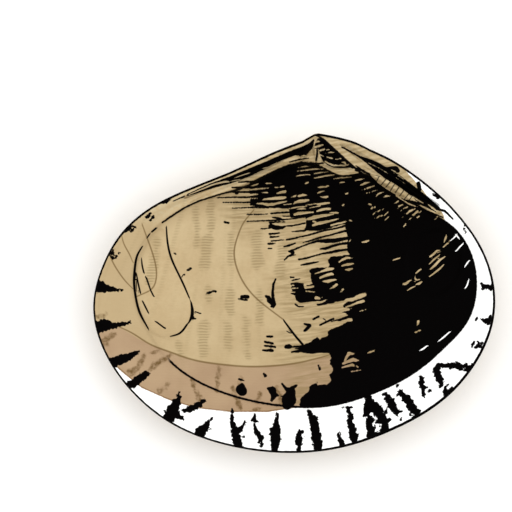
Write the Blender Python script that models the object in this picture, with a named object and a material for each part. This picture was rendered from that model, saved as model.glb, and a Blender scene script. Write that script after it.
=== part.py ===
"""Right valve of a trough shell: one half of a clam, lying on its round back with the hollow up.

The valve is one piece of shell. Its edge grew wider step by step while it turned about the beak, so the outside is
a spiral of ever larger copies of the edge. The inside is a bowl with a hinge plate, teeth, sockets, a ligament pit,
the scars of two closing muscles and the line where the soft body was fastened.

The valve's own frame, before it is laid down: the beak is the origin, X runs from the front end to the hind end,
Y from the gape up to the beak, and Z out of the hollow. All sizes are in metres.
"""
import math

import bpy
import numpy as np

# Growth of the outside
growth_rate = 1.40              # how fast the edge widens for each radian that it turns about the beak
last_turn = math.radians(146)   # how far the oldest shell has turned back under the beak
beak_turn = math.radians(24)    # the rounded tip of the beak, past that
shell_height = 0.0538           # beak to gape
ledge_depth = 0.00035           # how far new shell starts below the old at a winter's pause
ledge_width = 0.00035
ledge_stages = [0.30, 0.43, 0.56, 0.67, 0.775, 0.865, 0.94]   # size of the shell at each pause, of its full size
umbo_stages = [0.22, 0.16, 0.115, 0.08, 0.055, 0.038]         # the smooth young shell before the first pause

# The edge of the valve, seen from inside: from under the beak down the front end and back up the hind end
edge_points = [
    (0.0000, -0.0004), (-0.0050, -0.0013), (-0.0152, -0.0051), (-0.0231, -0.0083), (-0.0291, -0.0114),
    (-0.0338, -0.0156), (-0.0372, -0.0216), (-0.0387, -0.0285), (-0.0372, -0.0353), (-0.0321, -0.0431),
    (-0.0259, -0.0483), (-0.0170, -0.0521), (-0.0061, -0.0538), (0.0045, -0.0529), (0.0137, -0.0497),
    (0.0221, -0.0447), (0.0280, -0.0379), (0.0309, -0.0305), (0.0307, -0.0234), (0.0282, -0.0171),
    (0.0230, -0.0106), (0.0165, -0.0052), (0.0105, -0.0019), (0.0050, -0.0006),
]

# The line inside the edge: lower side of the hinge plate, then the pallial line, where the soft body was fastened
inner_points = [
    (-0.0020, -0.0037), (-0.0076, -0.0052), (-0.0140, -0.0081), (-0.0202, -0.0101), (-0.0262, -0.0134),
    (-0.0302, -0.0179), (-0.0317, -0.0235), (-0.0308, -0.0292), (-0.0291, -0.0326), (-0.0250, -0.0382),
    (-0.0205, -0.0414), (-0.0141, -0.0440), (-0.0050, -0.0457), (0.0022, -0.0456), (0.0100, -0.0434),
    (0.0168, -0.0400), (0.0228, -0.0350), (0.0265, -0.0305), (0.0278, -0.0252), (0.0268, -0.0190),
    (0.0236, -0.0145), (0.0195, -0.0119), (0.0150, -0.0092), (0.0110, -0.0067), (0.0078, -0.0054),
    (0.0045, -0.0057), (0.0014, -0.0045),
]
bowl_middle = (-0.0030, -0.0270)
hinge_low = -0.0013             # the edge between these two bounds is the short stretch under the beak
hinge_reach = 0.0050

# Shell thickness, lip and hinge plate
wall_at_edge = 0.0012
wall_at_back = 0.0021
lip_rise = 0.0003               # top of the rounded lip, over the outer edge
lip_width = 0.0011
lip_top_share = 0.45            # where across its width the lip is highest
lip_inside_rise = 0.00012       # inner side of the lip, over the outer edge
band_slope = 0.22               # how steeply the flat band inside the lip goes down
band_blend = 0.0005
plate_sink = 0.0007             # hinge plate, below the outer edge
plate_bank = 0.0022             # how far in from the edge the plate has sunk that much
plate_front_end = (-0.0275, -0.0140)
plate_hind_end = (0.0235, -0.0135)
plate_fade = 0.0045

# Hinge teeth and sockets, as the line each follows, its half width and its height
front_socket = dict(line=[(-0.0012, -0.0014), (-0.0065, -0.0032), (-0.0110, -0.0050), (-0.0165, -0.0069),
                          (-0.0228, -0.0094)], half_width=0.00075, height=-0.0010)
front_tooth = dict(line=[(-0.0046, -0.0041), (-0.0110, -0.0064), (-0.0160, -0.0082), (-0.0215, -0.0104)],
                   half_width=0.00085, height=0.0006)
hind_socket = dict(line=[(0.0040, -0.0012), (0.0084, -0.0032), (0.0125, -0.0052), (0.0165, -0.0081),
                         (0.0212, -0.0109)], half_width=0.00075, height=-0.0010)
hind_tooth = dict(line=[(0.0085, -0.0046), (0.0122, -0.0067), (0.0158, -0.0091), (0.0195, -0.0113)],
                  half_width=0.00080, height=0.0006)
front_cardinal = dict(line=[(-0.0006, -0.0009), (-0.0015, -0.0021), (-0.0026, -0.0034)],
                      half_width=0.00070, height=0.0011)
hind_cardinal = dict(line=[(-0.0003, -0.0009), (-0.0001, -0.0021), (0.0001, -0.0035)],
                     half_width=0.00060, height=0.0011)
pit_lip = dict(line=[(0.0011, -0.0045), (0.0028, -0.0053), (0.0048, -0.0056), (0.0068, -0.0053)],
               half_width=0.00060, height=0.0005)

# The three-sided pit of the inner ligament, behind the cardinal teeth
pit_corners = [(0.0006, -0.0008), (0.0009, -0.0046), (0.0074, -0.0050)]
pit_depth = 0.0013
pit_bank = 0.0008

# Scars of the two muscles that closed the clam
front_scar = [
    (-0.0268, -0.0150), (-0.0300, -0.0186), (-0.0314, -0.0235), (-0.0306, -0.0295), (-0.0284, -0.0329),
    (-0.0252, -0.0336), (-0.0223, -0.0313), (-0.0219, -0.0270), (-0.0237, -0.0228), (-0.0256, -0.0180),
]
hind_scar = [
    (0.0210, -0.0152), (0.0170, -0.0172), (0.0158, -0.0212), (0.0175, -0.0252), (0.0212, -0.0262),
    (0.0245, -0.0232), (0.0246, -0.0182),
]
scar_depth = 0.00040
scar_bank = 0.0010              # width of the slope round a scar
pallial_step = 0.00030          # the body's side of the pallial line lies this much deeper
pallial_bank = 0.0006

# How the valve lies on its back, and the small flat worn where it touches
lean_back = math.radians(4.9)
lean_side = math.radians(-1.3)
worn_depth = 0.00060

# Mesh: places round the edge, and how much closer together they are along the hinge
places = 128
hinge_crowding = 1.6
beak_crowding = 3.0
square_turn = 0.70              # the mesh lines leave the edge squarely, down to this turn of the older shell

shell_tan = (0.58, 0.44, 0.25, 1.0)


def smooth_line(points, closed=False, steps=24):
    """Cubic spline through the points, with the same bend on both sides of each."""
    points = np.array(points, float)
    after = np.roll(points, -1, axis=0) - points
    gap = np.linalg.norm(after, axis=1)
    count = len(points)
    rows = np.zeros((count, count))
    slopes = np.zeros_like(points)
    for i in range(count):
        before, here = gap[i - 1], gap[i]
        if closed or 0 < i < count - 1:
            rows[i, i - 1] = here
            rows[i, i] = 2 * (before + here)
            rows[i, (i + 1) % count] = before
            slopes[i] = 3 * (here * after[i - 1] / before + before * after[i] / here)
        else:
            rows[i, i] = 1
            slopes[i] = after[0] / gap[0] if i == 0 else after[-2] / gap[-2]
    slopes = np.linalg.solve(rows, slopes)
    t = np.linspace(0, 1, steps, endpoint=False)[:, None]
    spans = count if closed else count - 1
    pieces = []
    for i in range(spans):
        j = (i + 1) % count
        pieces.append((2 * t**3 - 3 * t**2 + 1) * points[i] + (3 * t**2 - 2 * t**3) * points[j]
                      + ((t**3 - 2 * t**2 + t) * slopes[i] + (t**3 - t**2) * slopes[j]) * gap[i])
    pieces.append(points[:1] if closed else points[-1:])
    return np.concatenate(pieces)


def nearest_on(x, y, line):
    """How far each place is from a line, and how far along the line its nearest point is, from 0 to 1."""
    start, step = line[:-1], np.diff(line, axis=0)
    length = np.linalg.norm(step, axis=1)
    best = np.full(x.shape, np.inf)
    along = np.zeros(x.shape)
    passed = 0.0
    for (x0, y0), (dx, dy), size in zip(start, step, length):
        t = np.clip(((x - x0) * dx + (y - y0) * dy) / size**2, 0, 1)
        away = np.hypot(x - x0 - t * dx, y - y0 - t * dy)
        closer = away < best
        best = np.where(closer, away, best)
        along = np.where(closer, passed + t * size, along)
        passed += size
    return best, along / passed


def inside(x, y, loop):
    """True for each place inside a closed line."""
    crossed = np.zeros(x.shape, bool)
    for (x0, y0), (x1, y1) in zip(loop[:-1], loop[1:]):
        if y0 != y1:
            crossed ^= ((y0 > y) != (y1 > y)) & (x < x0 + (y - y0) * (x1 - x0) / (y1 - y0))
    return crossed


def smooth_step(value, low, high):
    t = np.clip((value - low) / (high - low), 0, 1)
    return t * t * (3 - 2 * t)


def ridge(x, y, line, half_width, height):
    """Long rounded ridge along a line, or a groove if its height is below zero. It narrows to both ends."""
    away, along = nearest_on(x, y, smooth_line(line, steps=8))
    width = half_width * (0.45 + 0.55 * np.sin(math.pi * along))
    return height * np.clip(1 - (away / width) ** 2, 0, 1) ** 1.5


# Outlines as smooth curves, and as distances from the beak or from the middle of the bowl
edge_curve = smooth_line(edge_points, closed=True)
inner_curve = smooth_line(inner_points, closed=True)
front_scar_curve = smooth_line(front_scar, closed=True, steps=8)
hind_scar_curve = smooth_line(hind_scar, closed=True, steps=8)


def polar_reach(curve, centre):
    """Function that gives the curve's distance from a centre, in any direction."""
    direction = np.arctan2(curve[:-1, 1] - centre[1], curve[:-1, 0] - centre[0])
    distance = np.hypot(curve[:-1, 0] - centre[0], curve[:-1, 1] - centre[1])
    order = np.argsort(direction)
    return lambda angle: np.interp(angle, direction[order], distance[order], period=2 * math.pi)


past_hinge = (edge_curve[:, 1] < hinge_low) | (np.abs(edge_curve[:, 0]) > hinge_reach)
edge_from_beak = polar_reach(edge_curve[past_hinge], (0.0, 0.0))
edge_from_middle = polar_reach(edge_curve, bowl_middle)
inner_from_middle = polar_reach(inner_curve, bowl_middle)


def outside_height(x, y):
    """Height of the valve's outer side over a place in the edge's plane: the growth spiral, solved for its turn."""
    low = np.zeros(x.shape)
    high = np.full(x.shape, math.radians(89.9))
    for _ in range(30):
        turn = (low + high) / 2
        flat_y = y / np.cos(turn)
        reach = edge_from_beak(np.arctan2(flat_y, x))
        past = np.exp(growth_rate * turn) * np.hypot(x, flat_y) > reach
        high = np.where(past, turn, high)
        low = np.where(past, low, turn)
    return y * np.tan(low)


def bowl_height(x, y):
    """Inner side of the wall, a wall's thickness off the outer side."""
    step = 0.0002
    outer = outside_height(x, y)
    slope_x = (outside_height(x + step, y) - outer) / step
    slope_y = (outside_height(x, y + step) - outer) / step
    steep = np.sqrt(1 + np.clip(slope_x**2 + slope_y**2, 0, 9))
    wall = wall_at_edge + (wall_at_back - wall_at_edge) * smooth_step(-outer, 0.001, 0.009)
    return outer + wall * steep


def inner_height(x, y):
    """Height of the whole inner side, with the hinge plate, teeth, pit and scars."""
    from_x, from_y = x - bowl_middle[0], y - bowl_middle[1]
    angle = np.arctan2(from_y, from_x)
    out = np.hypot(from_x, from_y)
    to_edge = edge_from_middle(angle) - out
    past_line = out - inner_from_middle(angle)

    # The bowl, flattened into a band inside the lip
    band = lip_inside_rise - band_slope * np.clip(to_edge - lip_width, 0, None)
    bowl = bowl_height(x, y)
    height = (bowl + band - np.sqrt((bowl - band) ** 2 + band_blend**2)) / 2
    height -= pallial_step * smooth_step(-past_line, -pallial_bank, pallial_bank)

    # The hinge plate, a shelf across the top of the bowl
    front_side = (x - plate_front_end[0]) + (y - plate_front_end[1])
    hind_side = (plate_hind_end[0] - x) + (y - plate_hind_end[1])
    on_plate = smooth_step(front_side, -plate_fade, plate_fade) * smooth_step(hind_side, -plate_fade, plate_fade)
    on_plate *= smooth_step(y, bowl_middle[1], bowl_middle[1] + plate_fade)
    shelf = smooth_step(past_line, -0.0004, 0.0003) * on_plate
    plate = -plate_sink + (plate_sink + lip_inside_rise) * smooth_step(-to_edge, -plate_bank, -lip_width)
    height = height + (np.maximum(plate, height) - height) * shelf

    for part in (front_socket, front_tooth, hind_socket, hind_tooth, front_cardinal, hind_cardinal, pit_lip):
        height = height + ridge(x, y, **part)
    height = height - pit_depth * pit_shape(x, y)
    for curve in (front_scar_curve, hind_scar_curve):
        away, _ = nearest_on(x, y, curve)
        into = np.where(inside(x, y, curve), away, -away)
        height = height - scar_depth * smooth_step(into, -scar_bank / 2, scar_bank / 2)
    return height


def pit_shape(x, y):
    """1 in the ligament pit, 0 outside it."""
    depth = np.full(x.shape, np.inf)
    for i in range(3):
        (x0, y0), (x1, y1) = pit_corners[i], pit_corners[(i + 1) % 3]
        size = math.hypot(x1 - x0, y1 - y0)
        depth = np.minimum(depth, ((x1 - x0) * (y - y0) - (y1 - y0) * (x - x0)) / size)
    return smooth_step(depth, 0.0, pit_bank)


edge_passed = np.concatenate([[0], np.cumsum(np.linalg.norm(np.diff(edge_curve, axis=0), axis=1))])
edge_length = edge_passed[-1]


def edge_at(passed):
    """Points on the edge, each so far round it from the beak."""
    return np.stack([np.interp(passed, edge_passed, edge_curve[:, axis], period=edge_length) for axis in range(2)], 1)


def edge_direction(passed):
    ahead = edge_at(passed + 0.0001) - edge_at(passed - 0.0001)
    return ahead / np.linalg.norm(ahead, axis=1)[:, None]


def places_round_edge():
    """How far round the edge the mesh's points lie, closest together at the beak and along the hinge."""
    middle = (edge_curve[1:] + edge_curve[:-1]) / 2
    crowding = 1 + hinge_crowding * smooth_step(middle[:, 1], -0.016, -0.010)
    crowding += beak_crowding * smooth_step(-np.hypot(middle[:, 0] - 0.002, middle[:, 1]), -0.010, -0.003)
    counted = np.concatenate([[0], np.cumsum(np.diff(edge_passed) * crowding)])
    return np.interp(np.linspace(0, counted[-1], places, endpoint=False), counted, edge_passed)


def growth_ring(passed, turn, drop=0.0):
    """The edge as it was when the valve was smaller: shrunk towards the beak and turned back under it.

    Its points slide along it, away from the beak, so that the lines from ring to ring cross the rings squarely."""
    step = 0.01
    for _ in range(int(min(turn, square_turn) / step)):
        passed = passed + step * growth_rate * (edge_at(passed) * edge_direction(passed)).sum(axis=1)
    size = math.exp(-growth_rate * turn) * (1 - drop)
    x, y = edge_at(passed).T
    return size * np.stack([x, y * math.cos(turn), y * math.sin(turn)], axis=1)


def shell_rings():
    """All rings of the surface: from the middle of the bowl over the lip and round the back to the beak."""
    passed = places_round_edge()
    edge, along = edge_at(passed), edge_direction(passed)
    inward = np.stack([-along[:, 1], along[:, 0]], axis=1)
    lip_inside = edge + inward * lip_width
    angle = np.arctan2(lip_inside[:, 1] - bowl_middle[1], lip_inside[:, 0] - bowl_middle[0])
    full = np.hypot(lip_inside[:, 0] - bowl_middle[0], lip_inside[:, 1] - bowl_middle[1])
    line_share = (inner_from_middle(angle) / full)[:, None]

    # Rings of the bowl out to the inner line, then of the hinge plate and the band outside the line
    bowl_shares = [0.10, 0.22, 0.36, 0.50, 0.63, 0.75, 0.85, 0.925, 0.975]
    band_shares = [0.0, 0.10, 0.24, 0.38, 0.52, 0.66, 0.80, 1.0]
    steps = [8, 4, 4, 2, 2, 1, 1, 1, 1] + [1] * len(band_shares)
    shares = [share * line_share for share in bowl_shares]
    shares += [line_share + share * (1 - line_share) for share in band_shares]
    rings = []
    for share, skip in zip(shares, steps):
        place = (np.array(bowl_middle) + share * (lip_inside - bowl_middle))[::skip]
        rings.append(np.column_stack([place, inner_height(place[:, 0], place[:, 1])]))

    rings.append(np.column_stack([edge + inward * lip_width * lip_top_share, np.full(places, lip_rise)]))
    rings.append(growth_ring(passed, 0.0))

    # The outside. At each pause in its growth the older shell ends in a lip, over the foot of the newer shell
    for stage in reversed(ledge_stages):
        skip = 1 if stage > 0.5 else 2
        turn = -math.log(stage) / growth_rate
        foot_turn = ledge_width / (stage * shell_height)
        rings.append(growth_ring(passed, turn - foot_turn, ledge_depth / (stage * shell_height))[::skip])
        rings.append(growth_ring(passed, turn)[::skip])
        rings.append(growth_ring(passed, turn + 8 * foot_turn)[::skip])
    for stage, skip in zip(umbo_stages, (2, 4, 4, 4, 8, 8)):
        rings.append(growth_ring(passed, -math.log(stage) / growth_rate)[::skip])

    # The tip of the beak, rounded off
    for share in (0.0, 0.35, 0.7):
        ring = growth_ring(passed, last_turn + share * beak_turn)[::8]
        centre = ring.mean(axis=0)
        rings.append(centre + (ring - centre) * math.cos(share * math.pi / 2))
    middle_height = inner_height(np.array([bowl_middle[0]]), np.array([bowl_middle[1]]))[0]
    first = np.array([[*bowl_middle, middle_height]])
    last = growth_ring(passed, last_turn + beak_turn * 0.9).mean(axis=0)[None]
    return [first] + rings + [last]


def skin(rings):
    """Points and faces of a closed surface over rings whose numbers of points are equal, halved or doubled.

    Each four-sided gap is split along its shorter diagonal."""
    points = np.concatenate(rings)
    starts = np.cumsum([0] + [len(ring) for ring in rings])
    faces = []
    for k in range(len(rings) - 1):
        a, b, m, n = starts[k], starts[k + 1], len(rings[k]), len(rings[k + 1])
        for i in range(max(m, n)):
            j = (i + 1) % max(m, n)
            if m == 1:
                faces.append((a, b + i, b + j))
            elif n == 1:
                faces.append((a + i, b, a + j))
            elif m == n:
                if math.dist(points[a + i], points[b + j]) < math.dist(points[b + i], points[a + j]):
                    faces += [(a + i, b + i, b + j), (a + i, b + j, a + j)]
                else:
                    faces += [(a + i, b + i, a + j), (b + i, b + j, a + j)]
            elif m < n and i % 2 == 0:
                half, turn = i // 2, (i // 2 + 1) % m
                faces.append((a + half, b + i, b + j))
                faces.append((a + half, b + j, a + turn))
                faces.append((a + turn, b + j, b + (i + 2) % n))
            elif m > n and i % 2 == 0:
                half, turn = i // 2, (i // 2 + 1) % n
                faces.append((a + i, b + half, a + j))
                faces.append((a + j, b + half, b + turn))
                faces.append((a + j, b + turn, a + (i + 2) % m))
    return points, faces


def shell_material():
    material = bpy.data.materials.new("shell tan")
    material.use_nodes = True
    surface = material.node_tree.nodes["Principled BSDF"]
    surface.inputs["Base Color"].default_value = shell_tan
    surface.inputs["Roughness"].default_value = 0.45
    surface.inputs["Metallic"].default_value = 0.0
    return material


def lay_down(points):
    """The valve turned to lie on its back, with the worn flat at its lowest place and that place's middle on Z 0."""
    c, s = math.cos(lean_back), math.sin(lean_back)
    turn_x = np.array([[1, 0, 0], [0, c, -s], [0, s, c]])
    c, s = math.cos(lean_side), math.sin(lean_side)
    turn_y = np.array([[c, 0, s], [0, 1, 0], [-s, 0, c]])
    points = points @ (turn_y @ turn_x).T
    points[:, 2] = np.maximum(points[:, 2], points[:, 2].min() + worn_depth)
    low, high = points.min(axis=0), points.max(axis=0)
    return points - [(low[0] + high[0]) / 2, (low[1] + high[1]) / 2, low[2]]


def make_valve():
    points, faces = skin(shell_rings())
    mesh = bpy.data.meshes.new("valve")
    mesh.from_pydata(lay_down(points).tolist(), [], faces)
    mesh.shade_smooth()
    mesh.materials.append(shell_material())
    return bpy.data.objects.new("valve", mesh)


for old in list(bpy.data.objects):
    bpy.data.objects.remove(old)
collection = bpy.data.collections.new("bivalve shell")
bpy.context.scene.collection.children.link(collection)
collection.objects.link(make_valve())
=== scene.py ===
"""One valve of a trough shell, lying on its round back on a pale floor and seen straight into its hollow."""
import math

import bpy
import numpy as np
from mathutils import Matrix, Vector


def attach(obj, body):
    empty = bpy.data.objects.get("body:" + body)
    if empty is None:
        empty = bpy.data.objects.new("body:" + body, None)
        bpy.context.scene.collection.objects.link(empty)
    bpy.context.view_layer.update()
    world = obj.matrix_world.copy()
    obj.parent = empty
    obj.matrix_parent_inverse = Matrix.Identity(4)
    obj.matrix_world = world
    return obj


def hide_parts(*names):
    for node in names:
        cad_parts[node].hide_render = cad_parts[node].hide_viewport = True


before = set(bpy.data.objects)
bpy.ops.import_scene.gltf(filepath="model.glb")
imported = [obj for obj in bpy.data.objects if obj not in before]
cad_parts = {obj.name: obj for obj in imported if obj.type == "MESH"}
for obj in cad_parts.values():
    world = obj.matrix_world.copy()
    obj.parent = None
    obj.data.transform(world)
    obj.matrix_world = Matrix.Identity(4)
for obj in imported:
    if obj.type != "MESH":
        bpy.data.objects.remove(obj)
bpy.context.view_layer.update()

# The valve: one half of a clam, grown as a single piece of lime. The animal added shell along the edge, which
# widened while it turned about the beak, so the outside is a spiral of ever larger copies of the edge. Inside
# lie layers of smooth lime: a bowl, a hinge plate with teeth and sockets, and a smooth band to the lip.
growth_rate = 1.40              # how fast the edge widened for each radian that it turned about the beak
last_turn = math.radians(146)
beak_turn = math.radians(24)
shell_height = 0.0538
pause_depth = 0.00035           # how far new shell starts below the old after a winter's pause
pause_width = 0.00049
pause_fade = 0.0030
pause_stages = [0.30, 0.43, 0.56, 0.67, 0.775, 0.865, 0.94]   # share of its full size that the shell had then
ripple_height = 0.00005
ripple_length = 0.0021
ripple_sway = 1.6
ripple_sway_length = 0.0083
ripple_begins = (0.006, 0.014)
ripple_ends = (0.0520, 0.0534)
edge_points = [
    (0.0000, -0.0004), (-0.0050, -0.0013), (-0.0152, -0.0051), (-0.0231, -0.0083), (-0.0291, -0.0114),
    (-0.0338, -0.0156), (-0.0372, -0.0216), (-0.0387, -0.0285), (-0.0372, -0.0353), (-0.0321, -0.0431),
    (-0.0259, -0.0483), (-0.0170, -0.0521), (-0.0061, -0.0538), (0.0045, -0.0529), (0.0137, -0.0497),
    (0.0221, -0.0447), (0.0280, -0.0379), (0.0309, -0.0305), (0.0307, -0.0234), (0.0282, -0.0171),
    (0.0230, -0.0106), (0.0165, -0.0052), (0.0105, -0.0019), (0.0050, -0.0006),
]
inner_points = [
    (-0.0020, -0.0037), (-0.0076, -0.0052), (-0.0140, -0.0081), (-0.0202, -0.0101), (-0.0262, -0.0134),
    (-0.0302, -0.0179), (-0.0317, -0.0235), (-0.0308, -0.0292), (-0.0291, -0.0326), (-0.0250, -0.0382),
    (-0.0205, -0.0414), (-0.0141, -0.0440), (-0.0050, -0.0457), (0.0022, -0.0456), (0.0100, -0.0434),
    (0.0168, -0.0400), (0.0228, -0.0350), (0.0265, -0.0305), (0.0278, -0.0252), (0.0268, -0.0190),
    (0.0236, -0.0145), (0.0195, -0.0119), (0.0150, -0.0092), (0.0110, -0.0067), (0.0078, -0.0054),
    (0.0045, -0.0057), (0.0014, -0.0045),
]
bowl_middle = np.array([-0.0030, -0.0270])
hinge_low = -0.0013
hinge_reach = 0.0050
wall_at_edge = 0.0012
wall_at_back = 0.0021
wall_thickens = (0.001, 0.009)  # depths between which the wall goes from one to the other
steepest = 9
lip_rise = 0.0003
lip_width = 0.0011
lip_top = 0.0005
lip_inside_rise = 0.00012
band_slope = 0.22
band_blend = 0.0005
plate_sink = 0.0007
plate_bank = 0.0022
plate_front_end = (-0.0275, -0.0140)
plate_hind_end = (0.0235, -0.0135)
plate_fade = 0.0045
shelf_bank = (-0.0004, 0.0003)

# Teeth are ridges and sockets are grooves, each along its own line
hinge_parts = [
    dict(half_width=0.00075, height=-0.0010, line=[
        (-0.0012, -0.0014), (-0.0065, -0.0032), (-0.0110, -0.0050), (-0.0165, -0.0069), (-0.0228, -0.0094)]),
    dict(half_width=0.00085, height=0.0006, line=[
        (-0.0046, -0.0041), (-0.0110, -0.0064), (-0.0160, -0.0082), (-0.0215, -0.0104)]),
    dict(half_width=0.00075, height=-0.0010, line=[
        (0.0040, -0.0012), (0.0084, -0.0032), (0.0125, -0.0052), (0.0165, -0.0081), (0.0212, -0.0109)]),
    dict(half_width=0.00080, height=0.0006, line=[
        (0.0085, -0.0046), (0.0122, -0.0067), (0.0158, -0.0091), (0.0195, -0.0113)]),
    dict(half_width=0.00070, height=0.0011, line=[
        (-0.0006, -0.0009), (-0.0015, -0.0021), (-0.0026, -0.0034)]),
    dict(half_width=0.00060, height=0.0011, line=[
        (-0.0003, -0.0009), (-0.0001, -0.0021), (0.0001, -0.0035)]),
    dict(half_width=0.00060, height=0.0005, line=[
        (0.0011, -0.0045), (0.0028, -0.0053), (0.0048, -0.0056), (0.0068, -0.0053)]),
]
pit_corners = [(0.0006, -0.0008), (0.0009, -0.0046), (0.0074, -0.0050)]
pit_depth = 0.0013
pit_bank = 0.0008
front_scar = [
    (-0.0268, -0.0150), (-0.0300, -0.0186), (-0.0314, -0.0235), (-0.0306, -0.0295), (-0.0284, -0.0329),
    (-0.0252, -0.0336), (-0.0223, -0.0313), (-0.0219, -0.0270), (-0.0237, -0.0228), (-0.0256, -0.0180),
]
hind_scar = [
    (0.0210, -0.0152), (0.0170, -0.0172), (0.0158, -0.0212), (0.0175, -0.0252), (0.0212, -0.0262),
    (0.0245, -0.0232), (0.0246, -0.0182),
]
scar_depth = 0.00040
scar_bank = 0.0007
pallial_step = 0.00030
pallial_bank = 0.0005
pallial_groove = 0.00010
groove_half_width = 0.00025
lean_back = math.radians(4.9)
lean_side = math.radians(-1.3)
worn_depth = 0.00060

# How far the hinge's edge stands up towards the beak, in millimetres at each x, and how far down that reaches
hinge_lift = [
    (-15, 0), (-10.6, 0.2), (-8.3, 0.4), (-6.0, 0.6), (-3.7, 0.85), (-2.3, 1.1), (-1.5, 1.45), (-0.3, 1.95),
    (0.4, 2.05), (2.2, 1.75), (4.0, 1.5), (6.8, 1.1), (9.4, 0.45), (11.1, 0.3), (16.5, 0.2), (23, 0.15),
    (26, 0),
]
lift_reach = 0.0048
lift_depth = 0.0032
lift_top = -0.0003
upper_edge_low = -0.0140
beak_press = 0.95

# The surface is a net of rings, each with this many places round it or a half, a quarter and so on of them
places = 640
hinge_crowding = 0.9
hinge_crowded = (-0.016, -0.010)
beak_crowding = 1.6
beak_crowded = (-0.010, -0.003)
beak_crowded_x = 0.002
bowl_rings = 136
band_rings = 32
halving_shares = (0.06, 0.13, 0.25, 0.92)    # a ring of the bowl has half the places below each of these
halving_sizes = (0.0118, 0.0056)             # and so has one of the outside, which starts with half of them
lip_insets = (0.0009, 0.0007, 0.0005, 0.00034, 0.0002, 0.00009, 0.00002, 0.0)
outer_rings_from, outer_rings_to, outer_ring_gap = shell_height - 0.0002, 0.0120, 0.00085
beak_rings_from, beak_rings_to, beak_ring_gap = 0.0116, 0.0020, 0.0006
pause_rings = (0.0007, 0.00049, 0.00034, 0.0002, 0.0001, 0.0, -0.0002)
clear_of_pause = (-0.0003, 0.0008)
square_turn = 0.70
tip_skip = 16
tip_shares = (0.0, 0.25, 0.5, 0.75, 1.0)
mm = 1000                       # millimetres in a metre


def smooth_line(points, closed=False, steps=24):
    """Cubic spline through the points, with the same bend on both sides of each."""
    points = np.array(points, float)
    after = np.roll(points, -1, axis=0) - points
    gap = np.linalg.norm(after, axis=1)
    count = len(points)
    rows = np.zeros((count, count))
    slopes = np.zeros_like(points)
    for i in range(count):
        before, here = gap[i - 1], gap[i]
        if closed or 0 < i < count - 1:
            rows[i, i - 1] = here
            rows[i, i] = 2 * (before + here)
            rows[i, (i + 1) % count] = before
            slopes[i] = 3 * (here * after[i - 1] / before + before * after[i] / here)
        else:
            rows[i, i] = 1
            slopes[i] = after[0] / gap[0] if i == 0 else after[-2] / gap[-2]
    slopes = np.linalg.solve(rows, slopes)
    t = np.linspace(0, 1, steps, endpoint=False)[:, None]
    pieces = []
    for i in range(count if closed else count - 1):
        j = (i + 1) % count
        pieces.append((2 * t**3 - 3 * t**2 + 1) * points[i] + (3 * t**2 - 2 * t**3) * points[j]
                      + ((t**3 - 2 * t**2 + t) * slopes[i] + (t**3 - t**2) * slopes[j]) * gap[i])
    pieces.append(points[:1] if closed else points[-1:])
    return np.concatenate(pieces)


def nearest_on(x, y, line):
    """How far each place is from a line, and how far along the line its nearest point is, from 0 to 1."""
    start, step = line[:-1], np.diff(line, axis=0)
    length = np.linalg.norm(step, axis=1)
    best = np.full(x.shape, np.inf)
    along = np.zeros(x.shape)
    passed = 0.0
    for (x0, y0), (dx, dy), size in zip(start, step, length):
        t = np.clip(((x - x0) * dx + (y - y0) * dy) / size**2, 0, 1)
        away = np.hypot(x - x0 - t * dx, y - y0 - t * dy)
        closer = away < best
        best = np.where(closer, away, best)
        along = np.where(closer, passed + t * size, along)
        passed += size
    return best, along / passed


def inside(x, y, loop):
    """True for each place inside a closed line."""
    crossed = np.zeros(x.shape, bool)
    for (x0, y0), (x1, y1) in zip(loop[:-1], loop[1:]):
        if y0 != y1:
            crossed ^= ((y0 > y) != (y1 > y)) & (x < x0 + (y - y0) * (x1 - x0) / (y1 - y0))
    return crossed


def within(x, y, loop):
    """How far each place is inside a closed line, below zero outside it."""
    away, _ = nearest_on(x, y, loop)
    return np.where(inside(x, y, loop), away, -away)


def smooth_step(value, low, high):
    t = np.clip((value - low) / (high - low), 0, 1)
    return t * t * (3 - 2 * t)


def ridge(x, y, line, half_width, height):
    """Long rounded ridge along a line, or a groove if its height is below zero. It narrows to both ends."""
    end_share = 0.45
    away, along = nearest_on(x, y, smooth_line(line, steps=8))
    width = half_width * (end_share + (1 - end_share) * np.sin(math.pi * along))
    return height * np.clip(1 - (away / width) ** 2, 0, 1) ** 1.5


def polar_reach(curve, centre):
    """Function that gives the curve's distance from a centre, in any direction."""
    direction = np.arctan2(curve[:-1, 1] - centre[1], curve[:-1, 0] - centre[0])
    distance = np.hypot(curve[:-1, 0] - centre[0], curve[:-1, 1] - centre[1])
    order = np.argsort(direction)
    return lambda angle: np.interp(angle, direction[order], distance[order], period=2 * math.pi)


edge_curve = smooth_line(edge_points, closed=True)
inner_curve = smooth_line(inner_points, closed=True)
front_scar_curve = smooth_line(front_scar, closed=True, steps=8)
hind_scar_curve = smooth_line(hind_scar, closed=True, steps=8)
past_hinge = (edge_curve[:, 1] < hinge_low) | (np.abs(edge_curve[:, 0]) > hinge_reach)
edge_from_beak = polar_reach(edge_curve[past_hinge], (0.0, 0.0))
edge_from_middle = polar_reach(edge_curve, bowl_middle)
inner_from_middle = polar_reach(inner_curve, bowl_middle)


def outside_height(x, y):
    """Height of the outer side over a place in the edge's plane: the growth spiral, solved for its turn."""
    steps = 30
    low = np.zeros(x.shape)
    high = np.full(x.shape, math.radians(89.9))
    for _ in range(steps):
        turn = (low + high) / 2
        flat_y = y / np.cos(turn)
        past = np.exp(growth_rate * turn) * np.hypot(x, flat_y) > edge_from_beak(np.arctan2(flat_y, x))
        high = np.where(past, turn, high)
        low = np.where(past, low, turn)
    return y * np.tan(low)


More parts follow.
